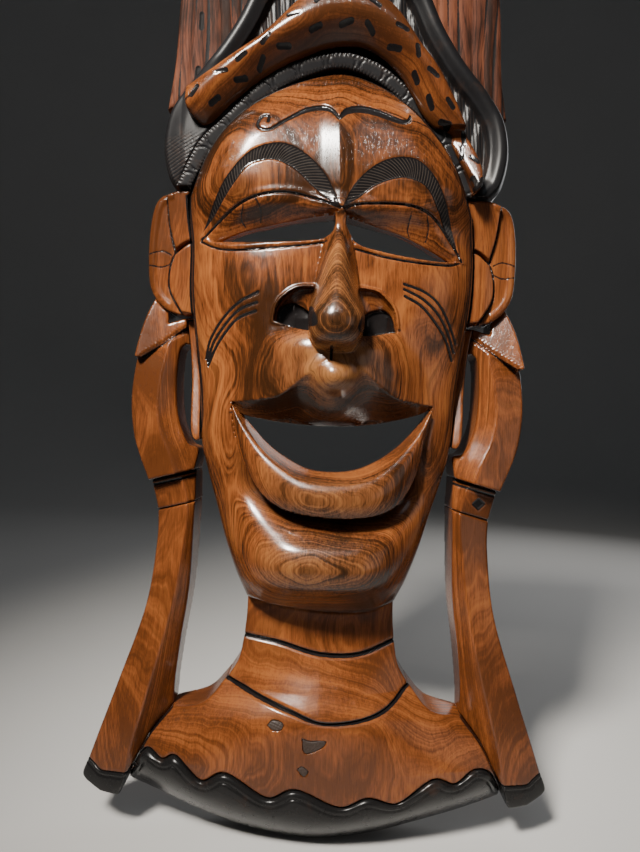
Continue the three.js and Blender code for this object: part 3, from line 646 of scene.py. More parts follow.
def face_dome(x, z):
    """The long dome that the features stand on."""
    middle = MIDDLE_DEPTH(z)
    share = np.minimum(np.abs(x) / HALF_WIDTH(z), 1.05)
    return middle - (middle - FACE_EDGE_DEPTH) * share ** (3 + 3 * ramp(z, 372, 400))


def spot(x, z, centre, radii):
    """A rounded hill over an ellipse."""
    return hill(np.hypot((x - centre[0]) / radii[0], (z - centre[1]) / radii[1]), 1)


def carve_brow(plan, front, upper, lower, lean):
    """A black brow, nearly flush, scratched with fine slanting barbs."""
    shape = outline(upper, lower[::-1])
    inside = plan.signed(shape, 12)
    _, run, offset = plan.near(smooth(upper), 16)
    phase = (run + lean * offset) / BARB_STEP
    plan.hatch = np.where(inside < 2.5, phase, plan.hatch)
    front -= (0.3 + 0.13 * np.abs(offset)) * ramp(-inside, -0.3, 0.5)
    plan.darken(inside)
    return front - 0.08 * (cuts(phase) * ramp(-inside, 0.8, 1.6))


def carve_eye(plan, front, lid, slit_top, lower_line, marks):
    """A heavy upper lid that slopes back to its slit, the thin rim below, and two fine arcs on the lid."""
    cover = plan.signed(outline(lid, slit_top[::-1]), 20)
    to_lid, to_slit = plan.gap(smooth(lid), 20), plan.gap(smooth(slit_top), 20)
    share = to_lid / np.maximum(to_lid + to_slit, 0.1)
    front += 0.6 * hill(to_lid, 5) * (cover > 0) * (plan.z > 356)
    front += (2.2 - 6.5 * share**1.2 - 2.4 * fade(to_lid, 7) ** 2) * (cover <= 0)
    front = engrave(plan, front, lid, 1.3, 1.5)
    front = engrave(plan, front, lower_line, 1.1, 1.2)
    front += 0.8 * hill(plan.gap(smooth(lower_line) + [0, 2.4], 4), 2.2)
    for mark in marks:
        front = engrave(plan, front, mark, 0.8, 0.6)
    return front


def carve_nose(plan, front):
    """A wedge of a nose that ends in a round bulb, with a thin-rimmed nostril cut on each side."""
    x, z = plan.x, plan.z
    half = NOSE_HALF(z)
    share = np.clip(np.abs(x - FEATURES_X) / half, 0, 1)
    rise = NOSE_RISE(z)
    wedge = rise * (1 - share**2) ** (0.6 + 0.6 * ramp(z, 325, 360))
    bulb = rise - half * (1 - np.sqrt(1 - share**2))
    roundness = ramp(z, 334, 314)
    nose = MIDDLE_DEPTH(z) + wedge * (1 - roundness) + bulb * roundness
    nose = np.where((share < 1) & (z > 296) & (z < 386), nose, 0)
    for rim, hole in NOSTRILS:
        to_rim, to_hole = plan.signed(rim, 14), plan.signed(hole, 14)
        front += 1.3 * hill(np.abs(to_rim - 0.7), 1.7) * (z > 313)
        wall = np.clip(-to_rim / np.maximum(-to_rim + to_hole, 0.1), 0, 1)
        front -= (to_rim < 0) * (2 + 5 * wall)
        front -= (NOSTRIL_DEPTH - 0.25 * (z - 318)) * ramp(-to_hole, -0.3, 0.9)
        # Black inside each hole: stain, and painted shade standing in for the shadow deep in it.
        plan.darken(to_hole - 0.2)
    return smooth_max(front, nose, 1.2 + 6 * ramp(z, 322, 346))


NOSTRILS = [
    (outline([[-10, 336], [-20, 335], [-27, 330.5], [-31.5, 324.5], [-33, 316]],
             [[-33, 316], [-26, 313.5], [-18, 311], [-8, 309]], [[-8, 309], [-8, 322], [-10, 336]]),
     outline([[-31.5, 316], [-30, 323.5], [-24, 327], [-17.5, 325.5], [-10, 320]],
             [[-10, 320], [-8, 310], [-18.5, 311.5], [-26.5, 314], [-31.5, 316]])),
    (outline([[15, 336], [26, 334.5], [32, 330], [37, 323], [39, 311]],
             [[39, 311], [33, 310.5], [26, 308.5], [15, 307]], [[15, 307], [15, 322], [15, 336]]),
     outline([[18, 319.5], [23, 323.5], [30, 325], [35.5, 321], [38, 312]],
             [[38, 312], [33, 311.5], [25, 309], [15, 308], [18, 319.5]])),
]


def carve_mouth(plan, front):
    """The upper lip's bevel, the rolled lower lip and the trough under it."""
    x, z = plan.x, plan.z
    off = x - FEATURES_X
    fullness = np.clip(1 - (off / MOUTH_HALF_WIDTH) ** 2, 0, 1)
    # upper lip: a crest with a bead in its middle, and a bevel that falls back to the opening
    opening = np.interp(x, *zip(*MOUTH_TOP))
    crest_z = LIP_TOP(x)
    height = np.clip((z - opening) / np.maximum(crest_z - opening, 1.5), 0, 1)
    columns = np.arange(front.shape[0])
    rows = np.clip(np.round((crest_z[:, 0] - plan.zs[0]) / plan.cell).astype(int), 0, front.shape[1] - 1)
    crest = front[columns, rows][:, None] + fullness
    inner = np.minimum(crest - 3, UPPER_LIP_INNER_DEPTH)
    bead = hill(np.abs(off), 24)
    fall = height**1.1 * (1 - bead) + np.sqrt(1 - (1 - height) ** 1.6) * bead
    bevel = inner + (crest - inner) * fall + LIP_BEAD * spot(off, z, (1.5, 282.5), (16, 12))
    on_lip = (z < crest_z) & (z > opening - 0.5) & (np.abs(off) < 60)
    front += fullness * hill(np.maximum(z - crest_z, 0), 9)
    front = np.where(on_lip, bevel, front)
    # Painted shade on the upper lip's bevel, darkest towards the opening and the corners.
    plan.paint_shade(0.75 * on_lip * ramp(z - 0.35 * np.abs(off), 281, 262))
    # lower lip: a rolled band with a narrow bevel up to the opening, and a deep trough under it
    rim = smooth(LOWER_LIP)
    lip = np.vstack([rim, smooth(MOUTH_FOOT)[1:-1]])
    inside = plan.signed(lip, 20)
    to_rim = plan.gap(rim, 24)
    to_mouth = plan.gap(smooth(MOUTH_FOOT), 24)
    share = to_rim / np.maximum(to_rim + to_mouth, 0.1)
    roll = LOWER_LIP_DEPTH - 0.0064 * off**2 - 4.2 * np.abs(share - 0.42) ** 2.2 / 0.42**2.2
    roll -= LOWER_LIP_BEVEL * (0.25 + 0.75 * fullness) * np.clip((share - 0.76) / 0.26, 0, 1)
    low = ramp(z, 250, 212)
    trough = (1.5 + 10.5 * low) * fade(to_rim, 4 + 17 * low) ** 2
    front -= trough * (inside > 0) * (z < 262)
    # Painted shadow in the trough just under the lower lip, strongest where the lip is lowest.
    plan.paint_shade(0.85 * hill(to_rim, 10) * (inside > 0) * low)
    return np.where(inside < 0, roll, front)


def carve_face():
    """The hollow face, with its slits and mouth cut right through."""
    plan = Plan((-91, 143), (88, 472))
    x, z = plan.x, plan.z
    side = np.abs(x - FEATURES_X)
    dome = face_dome(x, z)
    from_ridge = np.abs(x - 1 - 0.05 * (433 - z))
    ridge = smooth_max(11 - from_ridge, 0, 3) * ramp(z, 378, 396) * (1 - ramp(z, 424, 466))
    to_hair = plan.gap(smooth(HAIRLINE), 22)
    front = dome + 0.25 * ridge - 5 * fade(to_hair, 22) ** 1.7 * ramp(z, 385, 415)
    muzzle = np.hypot(side / MUZZLE_HALF(z), (z - MUZZLE_HEIGHT) / MUZZLE_REACH)
    front += MUZZLE_RISE * hill(muzzle, 1)
    for rise, centre, radii in SWELLS:
        front += rise * spot(side, z, centre, radii)
    front = carve_mouth(plan, front)
    front = carve_nose(plan, front)
    for eye in EYES:
        front = carve_eye(plan, front, **eye)
    for brow in BROWS:
        front = carve_brow(plan, front, **brow)
    for scar in SCARS:
        front = engrave(plan, front, scar, 1.6, 1.4)
    front = engrave(plan, front, [[0.8, 299], [0.8, 293]], 1.6, 1.5)
    front = stroke(plan, front, ORNAMENT_LEFT, (0.9, 1.0, 1.0, 1.2, 1.7, 2.0, 0.8), 0.9)
    front = stroke(plan, front, ORNAMENT_RIGHT, (0.8, 2.3, 2.5, 2.4, 2.1, 1.8, 0.8), 0.9)
    edge = plan.signed(FACE)
    # Painted shade: the face darkens below the chin, and within 9 mm of its outline.
    plan.paint_shade(0.45 * ramp(z, 168, 148))
    plan.paint_shade(0.4 * ramp(-edge, 9, 1))
    groove = 2.2 - 4 * ramp(z, 262, 236) + 3.6 * ramp(z, 156, 150)
    plan.darken(-edge - groove)
    front -= 0.8 * ramp(edge, -2.2, -0.4)
    roof = dome - SHELL_WALL + gouges(x, z)
    front = np.maximum(front, np.where(edge < -RIM_WIDTH, roof + 5, 0))
    holes = np.minimum(plan.signed(MOUTH), np.minimum(*[plan.signed(s) for s in SLITS]))

    def hollow(d):
        inner = np.maximum((edge + RIM_WIDTH)[:, None, :], d - roof[:, None, :])
        return -np.minimum(inner, holes[:, None, :])

    carve("face_shell", plan, front, edge, PALE_ROSEWOOD, rounding=1.4, extra=hollow, fine_from=30)


def gouges(x, z):
    """The scooped marks that a gouge leaves in the hollow behind the face."""
    column = np.floor(x / GOUGE_WIDTH)
    u = (x / GOUGE_WIDTH) % 1 - 0.5
    v = (z / GOUGE_LENGTH + 0.37 * column) % 1 - 0.5
    return -GOUGE_DEPTH * (1 - 2 * (u * u + v * v))


EYES = [
    {"lid": [[-79, 365], [-65, 377], [-52, 384.5], [-39, 388.5], [-24.5, 389], [-10, 385.5], [3.5, 380.5]],
     "slit_top": [[-70, 363.3], [-55.5, 368.5], [-43, 371.5], [-19, 376], [1.5, 378.5]],
     "lower_line": [[-79, 364], [-68, 359], [-55, 357.5], [-34, 358.7], [-16, 360.5], [-4, 362.5]],
     "marks": [[[-53, 382], [-54.3, 375.5], [-52, 371.5]], [[-45.3, 385.3], [-42.7, 379.5], [-43, 373.7]]]},
    {"lid": [[5, 380.5], [16, 383.7], [33, 385], [49, 383.5], [61, 377.5], [72, 365], [77.5, 357]],
     "slit_top": [[6.7, 377.5], [23, 373.6], [40, 369.5], [57.7, 362], [71, 356]],
     "lower_line": [[13, 359], [30, 355], [50, 353], [68, 353.5], [76, 356]],
     "marks": [[[44.7, 381.4], [43.3, 373], [44.6, 368.6]], [[54, 380], [55.5, 373.5], [54.6, 366.6]]]},
]
SLITS = [
    outline([[-70, 363.3], [-55.5, 368.5], [-43, 371.5], [-19, 376], [0.5, 378]],
            [[0.5, 378], [0.5, 371], [-3, 365.5], [-16, 363], [-35.5, 362], [-55, 362.5], [-70, 363.3]]),
    outline([[7, 377], [23, 373.6], [40, 369.5], [57.7, 362], [71, 356]],
            [[71, 356], [60.7, 355], [45, 355.8], [29, 358], [14.5, 362], [7.5, 371], [7, 377]]),
]
BROWS = [
    {"upper": [[-79, 369], [-71, 385], [-62.5, 399], [-52.5, 410.5], [-43.5, 416], [-30.5, 418],
               [-17.5, 412], [-7, 401.5], [0, 389], [3, 381]],
     "lower": [[-79, 369], [-69.5, 380], [-58.5, 394], [-51, 403.5], [-43, 407], [-34, 407.5],
               [-23.5, 402.5], [-13, 393], [-3.5, 384.5], [3, 381]],
     "lean": 0.9},
    {"upper": [[5, 381], [9, 391.5], [16.5, 401.5], [26.5, 409], [37, 412], [47.5, 410.5], [56.5, 402.5],
               [63.5, 391], [70.5, 374], [75, 360]],
     "lower": [[5, 381], [13, 386.5], [22, 394], [33.5, 399], [42.5, 399.5], [52, 395.5], [60, 384],
               [67, 371.5], [75, 360]],
     "lean": -0.9},
]
SCARS = [
    [[-42.5, 332.5], [-54, 326.5], [-64, 317], [-71.5, 305], [-74, 294]],
    [[-43, 326.5], [-54, 322], [-62.5, 313.5], [-69.5, 303], [-73, 292]],
    [[-43.5, 321.5], [-54, 317.5], [-61, 310.5], [-67.5, 301], [-72.5, 290]],
    [[42, 340], [55, 336], [64, 329.5], [71, 319], [76, 308]],
    [[42, 337], [53.5, 332], [63, 324.5], [70, 314.5], [75, 303]],
    [[42.5, 333], [52.5, 328], [62, 319], [69, 310], [74, 298]],
]
ORNAMENT_LEFT = [[-40, 431], [-40, 434.5], [-43.5, 434.5], [-46, 430], [-44.5, 426.5], [-39, 426],
                 [-30, 432], [-18.5, 439], [-9, 441], [-3, 438.5], [1, 433]]
ORNAMENT_RIGHT = [[1, 433], [5, 438.5], [12, 441], [21.5, 439.5], [31, 436], [38, 434], [41.5, 435.5],
                  [42.5, 439]]


# ---------- the headdress ----------

POCKET_HALF = 17
POCKET_BOX = (484, 543)
POCKET_CORNER = 10
POCKET_DEPTH = 10
SCREW_HEIGHTS = (510, 494)
SCREW_HOLE_RADIUS = 1.8
SCREW_HOLE_END = 22
BRIM_ROLL = profile([[0, 0], [2, 0.18], [5, 0.42], [8, 0.64], [12, 0.88], [17, 1], [24, 1]])


def hair_depth(x):
    return HAIR_DEPTH - 9 * np.minimum(np.abs(x) / 95, 1) ** 2


def crown(edge, width, height):
    """Raises a surface in a quarter round over a width from its outline inwards."""
    share = np.clip(1 + edge / width, 0, 1)
    return height * (np.sqrt(1 - share**2) - 1)


def carve_hair():
    """The narrow band of hair along the forehead, notched along both edges."""
    plan = Plan((-98, 396), (87, 480))
    edge = plan.apart(plan.signed(HAIR), FACE)
    front = hair_depth(plan.x)
    inner, run, _ = plan.near(smooth(HAIRLINE), 16)
    outer, run_top, _ = plan.near(smooth(HAIR_TOP), 16)
    front = front + 0.24 * inner - 1.5
    notches = run / NOTCH_STEP
    front -= 0.9 * cuts(notches) * (hill(outer - 0.5, 2.2) + hill(inner - 0.5, 2.2))
    within = ramp(inner, 1.2, 2) * ramp(outer, 1.2, 2)
    for position in np.arange(14, run_top.max(), TICK_STEP):
        for lean in (-1.4, 1.4):
            bow = run - position - lean - 0.12 * (inner - 3.5) ** 2 * np.sign(lean)
            front -= 0.7 * fade(np.abs(bow), 0.7) * within
    plan.hatch = np.where((outer < 2.4) | (inner < 2.0), notches, 0.0)
    carve("hair_band", plan, front, edge, SATIN_BLACK, rounding=0.7, fine_from=32)


def carve_hood():
    """The black hood: a rounded rim along its outer edge, and folds behind the brim."""
    plan = Plan((-108, 397), (108, 547))
    x, z = plan.x, plan.z
    edge = plan.apart(plan.signed(HOOD), FACE, HAIR)
    rim = plan.gap(HOOD_RIM, 32)
    front = hair_depth(x) - 3
    fill = ramp(rim, 12, 15)
    folds = np.abs(((x + 2.5 * np.sin(z / 13)) / HOOD_FOLD_WIDTH) % 1 - 0.5) * 2
    on_wing = ramp(-x, 55, 70) * ramp(z, 478, 462)
    front -= fill * (1 - on_wing) * (3.5 + 1.6 * folds)
    cord = 3.6 * hill(np.abs(rim - 5.5), 7.5)
    wing = 3.6 * ramp(rim, 0, 14) - 0.6
    front = front + (1 - on_wing) * cord + on_wing * wing - 3.5 * ramp(rim, 3.5, 0) ** 2
    barbs = on_wing * ramp(z, 434, 424)
    barb_lines = (z + 0.55 * np.abs(x)) / BARB_STEP
    front -= 0.5 * barbs * cuts(barb_lines)
    fold_lines = (x + 0.1 * z) / FOLD_STEP
    front -= 0.35 * fill * (1 - on_wing) * cuts(fold_lines)
    plan.hatch = np.where(barbs > 0.5, barb_lines, np.where((fill > 0.5) & (on_wing < 0.5), fold_lines, 0.0))
    box = rounded_box(x, z, POCKET_HALF, POCKET_BOX, POCKET_CORNER)

    def pocket(d):
        room = np.maximum(box[:, None, :], d - POCKET_DEPTH)
        holes = [np.maximum(np.hypot(x, z - height)[:, None, :] - SCREW_HOLE_RADIUS, d - SCREW_HOLE_END)
                 for height in SCREW_HEIGHTS]
        return -np.minimum(room, np.minimum(*holes))

    carve("hood", plan, front, edge, SATIN_BLACK, extra=pocket, fine_from=30)


def rounded_box(x, z, half, bottom_top, radius):
    """Signed distance to an upright rectangle with rounded corners, centred on x = 0."""
    bottom, top = bottom_top
    dx = np.abs(x) - half + radius
    dz = np.abs(z - (bottom + top) / 2) - (top - bottom) / 2 + radius
    outside = np.hypot(np.maximum(dx, 0), np.maximum(dz, 0))
    return outside + np.minimum(np.maximum(dx, dz), 0) - radius


def carve_brim():
    """The brown brim that stands out over the forehead, with two rows of black dashes."""
    plan = Plan((-92, 396), (88.5, 514))
    x, z = plan.x, plan.z
    edge = plan.apart(plan.signed(BRIM), FACE, gap=0.2)
    foot_line, top_line = smooth(BRIM_FOOT), smooth(BRIM_TOP)
    foot, top = plan.gap(foot_line, 40), plan.gap(top_line, 40)
    fall = np.minimum(np.abs(x) / 92, 1) ** 2
    share = foot / np.maximum(foot + top, 0.1)
    crest = BRIM_DEPTH - 12 * fall
    root = hair_depth(x) + 2
    front = root + (crest - root) * BRIM_ROLL(foot) - 3 * np.clip(share / 0.5 - 1, 0, 1) ** 2
    facet = 47 + 0.27 * (x - 70) - 0.2 * (z - 410)
    front = np.where((x > 60) & (z < 436), smooth_max(front - 6, facet, 2), front)
    front += crown(edge, 3.5, 1.6)
    for row, (height, shift) in enumerate(DASH_ROWS):
        line = (1 - height) * resample(foot_line, 240) + height * resample(top_line[::-1], 240)
        distance, along, offset = plan.near(line, 8)
        number = np.floor((along - shift) / DASH_STEP)
        lean = 0.5 * np.sin(number * 2.4 + row)
        local = (along - shift) % DASH_STEP - DASH_STEP / 2 - 2.2 * np.sin(number * 1.7 + 2 * row)
        u = local * np.cos(lean) + offset * np.sin(lean)
        v = -local * np.sin(lean) + offset * np.cos(lean)
        length = 3.0 + 0.7 * np.sin(number * 3.1)
        dash = np.hypot(np.maximum(np.abs(u) - length, 0), v) - 1.1
        dash = np.where(distance < 7, dash, 1)
        plan.darken(dash - 0.3)
        front -= 0.25 * ramp(-dash, -0.1, 0.7)
    # Painted shade on the brim: darker from near its left end rightwards with gentle waves, and darker still
    # along its foot.
    plan.paint_shade(0.25 * ramp(x, -62, -28) * (0.75 + 0.25 * np.sin(x / 13)))
    plan.paint_shade(0.6 * ramp(share, 0.4, 0.08) * ramp(x, -72, -48))
    back = hair_depth(x) + 0.3
    carve("brim_band", plan, front, edge, ROSEWOOD, back=back, rounding=1.8, fine_from=38)


def resample(path, count):
    """Points evenly spaced along a path."""
    steps = np.linalg.norm(np.diff(path, axis=0), axis=1)
    run = np.concatenate([[0], np.cumsum(steps)])
    even = np.linspace(0, run[-1], count)
    return np.stack([np.interp(even, run, path[:, 0]), np.interp(even, run, path[:, 1])], axis=1)


def carve_panel():
    """The outer headdress: upright flutes with a few black dashes."""
    plan = Plan((-108, 451), (108, 563))
    x, z = plan.x, plan.z
    edge = plan.apart(plan.signed(PANEL), HOOD)
    wander = x + 1.6 * np.sin(z / 27 + x / 11) + 1.3 * np.sin(x / 5.1)
    flute = np.abs(np.sin(wander * math.pi / FLUTE_WIDTH))
    front = PANEL_DEPTH - 1 + 0.6 * flute
    front += crown(edge, 4, 2.5)
    count = wander / FLUTE_WIDTH
    valley = np.abs((count + 0.5) % 1 - 0.5) * FLUTE_WIDTH
    plan.darken(valley - 0.35 + 0.5 * np.sin(z / 23 + np.floor(count + 0.5) * 2.1))
    column = np.floor(count)
    middle = (count - column - 0.5) * FLUTE_WIDTH
    local = (z + 23 * np.sin(column * 2.3)) % 34 - 17
    dash = np.hypot(np.maximum(np.abs(local) - 4.5, 0), middle) - 1.2
    dash = np.where((x < -74) & (x > -96) & (column % 2 == 0), dash, FAR)
    plan.darken(dash - 0.3)
    front -= 0.5 * ramp(-dash, -0.1, 0.7)
    carve("headdress_panel", plan, front, edge, DARK_ROSEWOOD, fine_from=14)


# ---------- ears, earlobes and arms ----------

# These lines lie on the viewer's right, and are mirrored for the left.
EAR_PLATE = outline([[80, 399], [92, 400], [104, 395.5]], [[104, 395.5], [101.5, 376], [97.5, 361]],
                    [[97.5, 361], [89, 366.5], [80, 368]])
EAR_LEAF = outline([[80, 368], [89, 366], [98, 359]], [[98, 359], [101, 348], [100, 336], [92, 322.5]],
                   [[92, 322.5], [80, 320]])
EAR_LINES = [
    [[104, 397], [101.5, 376], [97.5, 360]],
    [[82, 368], [90, 365.5], [98, 359], [101, 348], [100, 336], [91, 320.5]],
]
EAR_NOTCHES = [[[114, 359.5], [106, 361.5], [100, 359]], [[114, 352.5], [106, 351.5], [100.5, 353.5]]]
LOOP_CREST = [[107, 334], [99, 316], [100, 300], [103, 284], [104, 264], [101, 249], [94, 234], [90, 220]]
LOOP_RIDGE = [[83, 319], [93, 312], [103, 304], [116, 295]]
STRIP_DEPTH = profile([[245, 38], [250, 37], [270, 31.5], [290, 26.5], [305, 24], [320, 23]])
ARM_CREST = [[92, 232], [84, 205], [86.5, 175], [91, 145], [98, 115], [106, 84], [112.5, 60], [119, 30]]
BAND_RINGS = ((24.3, 1.7), (20.6, 0.7), (2.8, 1.8))  # heights above the band's foot, and half widths
DIAMOND = (96, 211)
DIAMOND_HALF = (5.0, 4.2)
STAINED_HEIGHTS = (246, 396)  # where the groove beside the face is black


def stain_beside_face(plan, reach=1.5):
    """Blackens the groove where a piece meets the face."""
    low, high = STAINED_HEIGHTS
    beside = plan.signed(FACE, 8) - reach
    plan.darken(np.where((plan.z > low) & (plan.z < high), beside, FAR))


class Side:
    """One side of the mask, with its six pieces."""

    def __init__(self, name):
        self.name = name
        self.turn = 1 if name == "right" else -1

    def plan(self, low, high):
        """A plan grid over a box, and its distances outwards from the middle of the mask."""
        ends = sorted((low[0] * self.turn, high[0] * self.turn))
        plan = Plan((ends[0], low[1]), (ends[1], high[1]))
        return plan, plan.x * self.turn

    def place(self, points):
        return np.array(points, float) * [self.turn, 1]

    def from_crest(self, plan, crest):
        """The distance from a crest line, and which points lie on its inner side."""
        distance, _, offset = plan.near(smooth(self.place(crest)), 40)
        return distance, offset * self.turn > 0

    def carve_ear(self):
        """A plate above, a leaf below, and a rim round the outside."""
        plan, x = self.plan((79, 320), (116, 399))
        z = plan.z
        edge = plan.apart(plan.signed(self.place(EAR)), FACE, HAIR, HOOD)
        plate = plan.signed(self.place(EAR_PLATE), 16)
        leaf = plan.signed(self.place(EAR_LEAF), 16)
        front = 28.5 - 0.12 * np.maximum(x - 100, 0)
        front = np.maximum(front, 29 + 5 * ramp(-plate, -0.2, 1.3) + 0.05 * (z - 380) - 0.14 * (x - 88)
                           - 8 * (plate > 0))
        front = np.maximum(front, 29 + 4.5 * ramp(-leaf, -0.2, 1.5) - 0.018 * (x - 89) ** 2 - 8 * (leaf > 0))
        front += hill(np.abs(edge + 3.2), 3) * (x > 99)
        for line in EAR_LINES:
            front = engrave(plan, front, self.place(line), 1.1, 1.2)
        for notch in EAR_NOTCHES:
            front = engrave(plan, front, self.place(notch), 0.9, 0.25)
        stain_beside_face(plan)
        carve(f"{self.name}_ear", plan, front, edge, ROSEWOOD, fine_from=14)

    def carve_loop(self):
        """The earlobe loop: two facets that meet at a crest, and a horn above a chipped ridge."""
        turn = self.turn
        plan, x = self.plan((79, 218), (123, 337))
        z = plan.z
        neighbours = [self.place(shape) for shape in (EAR, STRIP, ARM_BAND)]
        edge = plan.apart(plan.signed(self.place(LOOP)), FACE, *neighbours)
        crest, inner = self.from_crest(plan, LOOP_CREST)
        lean = 0.14 * (275 - z)
        front = LOOP_CREST_DEPTH + lean - np.where(inner, 0.75, 0.42) * smooth_max(crest, 0, 1.5)
        ridge = plan.gap(smooth(self.place(LOOP_RIDGE)), 30)
        above = ramp(z - np.interp(x, *zip(*LOOP_RIDGE)), -0.4, 0.6)
        horn = 27 + (0.11 + 0.15 * turn) * (plan.x - 108 * turn) - (0.19 + 0.04 * turn) * (z - 312)
        front = np.where(above > 0.5, horn, front) - 1.2 * hill(ridge, 2.5)
        chips = np.sin(z * 2.1 + x * 1.3) * np.sin(x * 2.7 - z * 0.9)
        front += 0.5 * chips * hill(ridge, 5)
        plan.darken(ridge - 0.5)
        stain_beside_face(plan)
        carve(f"{self.name}_earlobe_loop", plan, front, edge, ROSEWOOD, fine_from=12)

    def carve_strip(self):
        """The flat strip of the lobe that runs down beside the face."""
        plan, _ = self.plan((73, 243), (91, 321))
        edge = plan.apart(plan.signed(self.place(STRIP)), FACE, self.place(EAR))
        front = STRIP_DEPTH(plan.z) + (0.15 + 0.13 * self.turn) * (plan.x - 85 * self.turn)
        stain_beside_face(plan, reach=1.0)
        plan.darken(-edge - 0.5)
        carve(f"{self.name}_earlobe_strip", plan, front, edge, ROSEWOOD, rounding=1.8, fine_from=12)

    def arm_depth(self, plan):
        """The engraved band, the arm and its black tip share one ridge."""
        distance, inner = self.from_crest(plan, ARM_CREST)
        return ARM_CREST_DEPTH - np.where(inner, 0.95 * distance, 0.36 * distance + 0.004 * distance**2)

    def carve_arm_band(self):
        """A band between black rings, with a black diamond on the right."""
        plan, x = self.plan((78, 199), (109, 228))
        edge = plan.apart(plan.signed(self.place(ARM_BAND)), self.place(LOOP))
        front = self.arm_depth(plan)
        for rise, half in BAND_RINGS:
            ring = [[79, 200.5 + rise * 0.98 + 2.6], [109, 194 + rise * 0.98 + 1.0]]
            distance = plan.gap(self.place(ring), 6)
            plan.darken(distance - half)
            front -= 1.1 * fade(distance, half + 0.6)
        if self.name == "right":
            (middle, height), (half_width, half_height) = DIAMOND, DIAMOND_HALF
            diamond = (np.abs(x - middle) / half_width + np.abs(plan.z - height) / half_height - 1) * 3
            plan.darken(diamond)
            front -= 0.8 * ramp(-diamond, -0.3, 0.8)
        carve(f"{self.name}_arm_band", plan, front, edge, ROSEWOOD, fine_from=10)

    def carve_arm(self):
        plan, _ = self.plan((78, 36), (144, 208))
        ends = self.place(ARM_BAND), self.place(FOOT_HEM)
        edge = plan.apart(plan.signed(self.place(ARM)), BUST, HEM, *ends)
        carve(f"{self.name}_arm", plan, self.arm_depth(plan), edge, ROSEWOOD, fine_from=10)

    def carve_foot_hem(self):
        """The arm's black tip, with a line along its upper edge."""
        plan, _ = self.plan((114, 22), (147, 43))
        edge = plan.apart(plan.signed(self.place(FOOT_HEM)), BUST, HEM)
        lip = plan.gap(smooth(self.place(ARM_FOOT)), 6)
        front = self.arm_depth(plan) + 0.4 - 0.8 * fade(np.abs(lip - 2.4), 0.8)
        carve(f"{self.name}_foot_hem", plan, front, edge, BLACK, fine_from=10)


# ---------- neck, bust and hem ----------

BUST_MIDDLE = profile([[0, 50], [40, 52], [60, 53.5], [76, 54], [84, 52], [96, 45.5], [108, 39.5], [120, 36],
                       [135, 35], [150, 36]])
NECK_HALF_WIDTH = 62
SHOULDER_SPREAD = 73  # how much wider the bust's curve is than the neck's
FILLER_DEPTH = 2.6


def bust_depth(x, z):
    """A round neck that flares into the shoulders."""
    swell = BUST_MIDDLE(z)
    half = NECK_HALF_WIDTH + SHOULDER_SPREAD * fade(z - 50, 45)
    share = np.minimum(np.abs(x - 1) / half, 1)
    return swell - (swell - BUST_EDGE_DEPTH) * share**2.1


def bust_surface(x, z):
    """The bust with the faint waves that the chisel left."""
    return bust_depth(x, z) + 0.8 * np.sin(x / 31 + 1) * np.sin(z / 17)


def neck_groove(plan, front, ring, half=1.4):
    """Cuts a black groove round the neck."""
    distance = plan.gap(smooth(ring), 8)
    plan.darken(distance - half)
    return front - 1.6 * fade(distance, half + 1.0)


def carve_neck():
    """The two drums of the neck, with a black groove at each end."""
    drums = (("neck_upper", NECK_UPPER, NECK_RINGS[:2]), ("neck_lower", NECK_LOWER, NECK_RINGS[1:]))
    for node, shape, rings in drums:
        plan = Plan(shape.min(axis=0), shape.max(axis=0))
        edge = plan.signed(shape)
        edge = plan.apart(edge, FACE) if node == "neck_upper" else edge + 2 * SNUG
        front = bust_depth(plan.x, plan.z)
        front += 1.2 * fade(np.abs(plan.x - 1), 30) ** 1.5
        for ring in rings:
            front = neck_groove(plan, front, ring)
        carve(node, plan, front, edge, ROSEWOOD, rounding=1.0, fine_from=22)


def carve_bust():
    """The bust, with shallow pockets for the filler."""
    plan = Plan((-119, 29), (119, 99))
    edge = plan.apart(plan.signed(BUST), HEM)
    front = neck_groove(plan, bust_surface(plan.x, plan.z), NECK_RINGS[2])
    seam = plan.gap(smooth(SCALLOPS), 8)
    plan.darken(seam - 0.8)
    front -= 1.2 * fade(seam, 1.8)
    for turn in (-1, 1):
        front = engrave(plan, front, np.array(SHOULDER) * [turn, 1], 1.6, 1.6)
    for patch in FILLERS:
        front -= FILLER_DEPTH * (plan.signed(patch, 6) < 0.1)
    carve("bust", plan, front, edge, ROSEWOOD, fine_from=18)


def carve_fillers():
    """Rough dark plugs, just below the wood round them."""
    for i, patch in enumerate(FILLERS):
        plan = Plan(patch.min(axis=0), patch.max(axis=0), cell=CELL / 2)
        x, z = plan.x, plan.z
        front = bust_surface(x, z) - 0.1
        front += 0.18 * np.sin(x * 2.3 + z) * np.sin(z * 2.9 - x)
        carve(f"filler_patch_{i + 1}", plan, front, plan.signed(patch, 6) + SNUG, FILLER,
              back=front - FILLER_DEPTH + 0.5, rounding=0.3, fine_from=front.min() - 4)


def carve_hem():
    """The black hem: a rounded lip along the scallops, turned under at the bottom."""
    plan = Plan((-121, -1), (121, 55))
    seam = plan.gap(smooth(SCALLOPS), 12)
    front = bust_depth(plan.x, plan.z) + 0.6 + 3.5 * (np.sqrt(1 - fade(seam, 11) ** 2) - 0.35)
    front -= 0.8 * fade(np.abs(seam - 4.2), 0.9)
    front -= 24 * fade(plan.gap(smooth(HEM_FOOT), 34), 30) ** 1.7
    carve("hem", plan, front, plan.signed(HEM) + SNUG, BLACK, fine_from=18)


# ---------- the hanger ----------

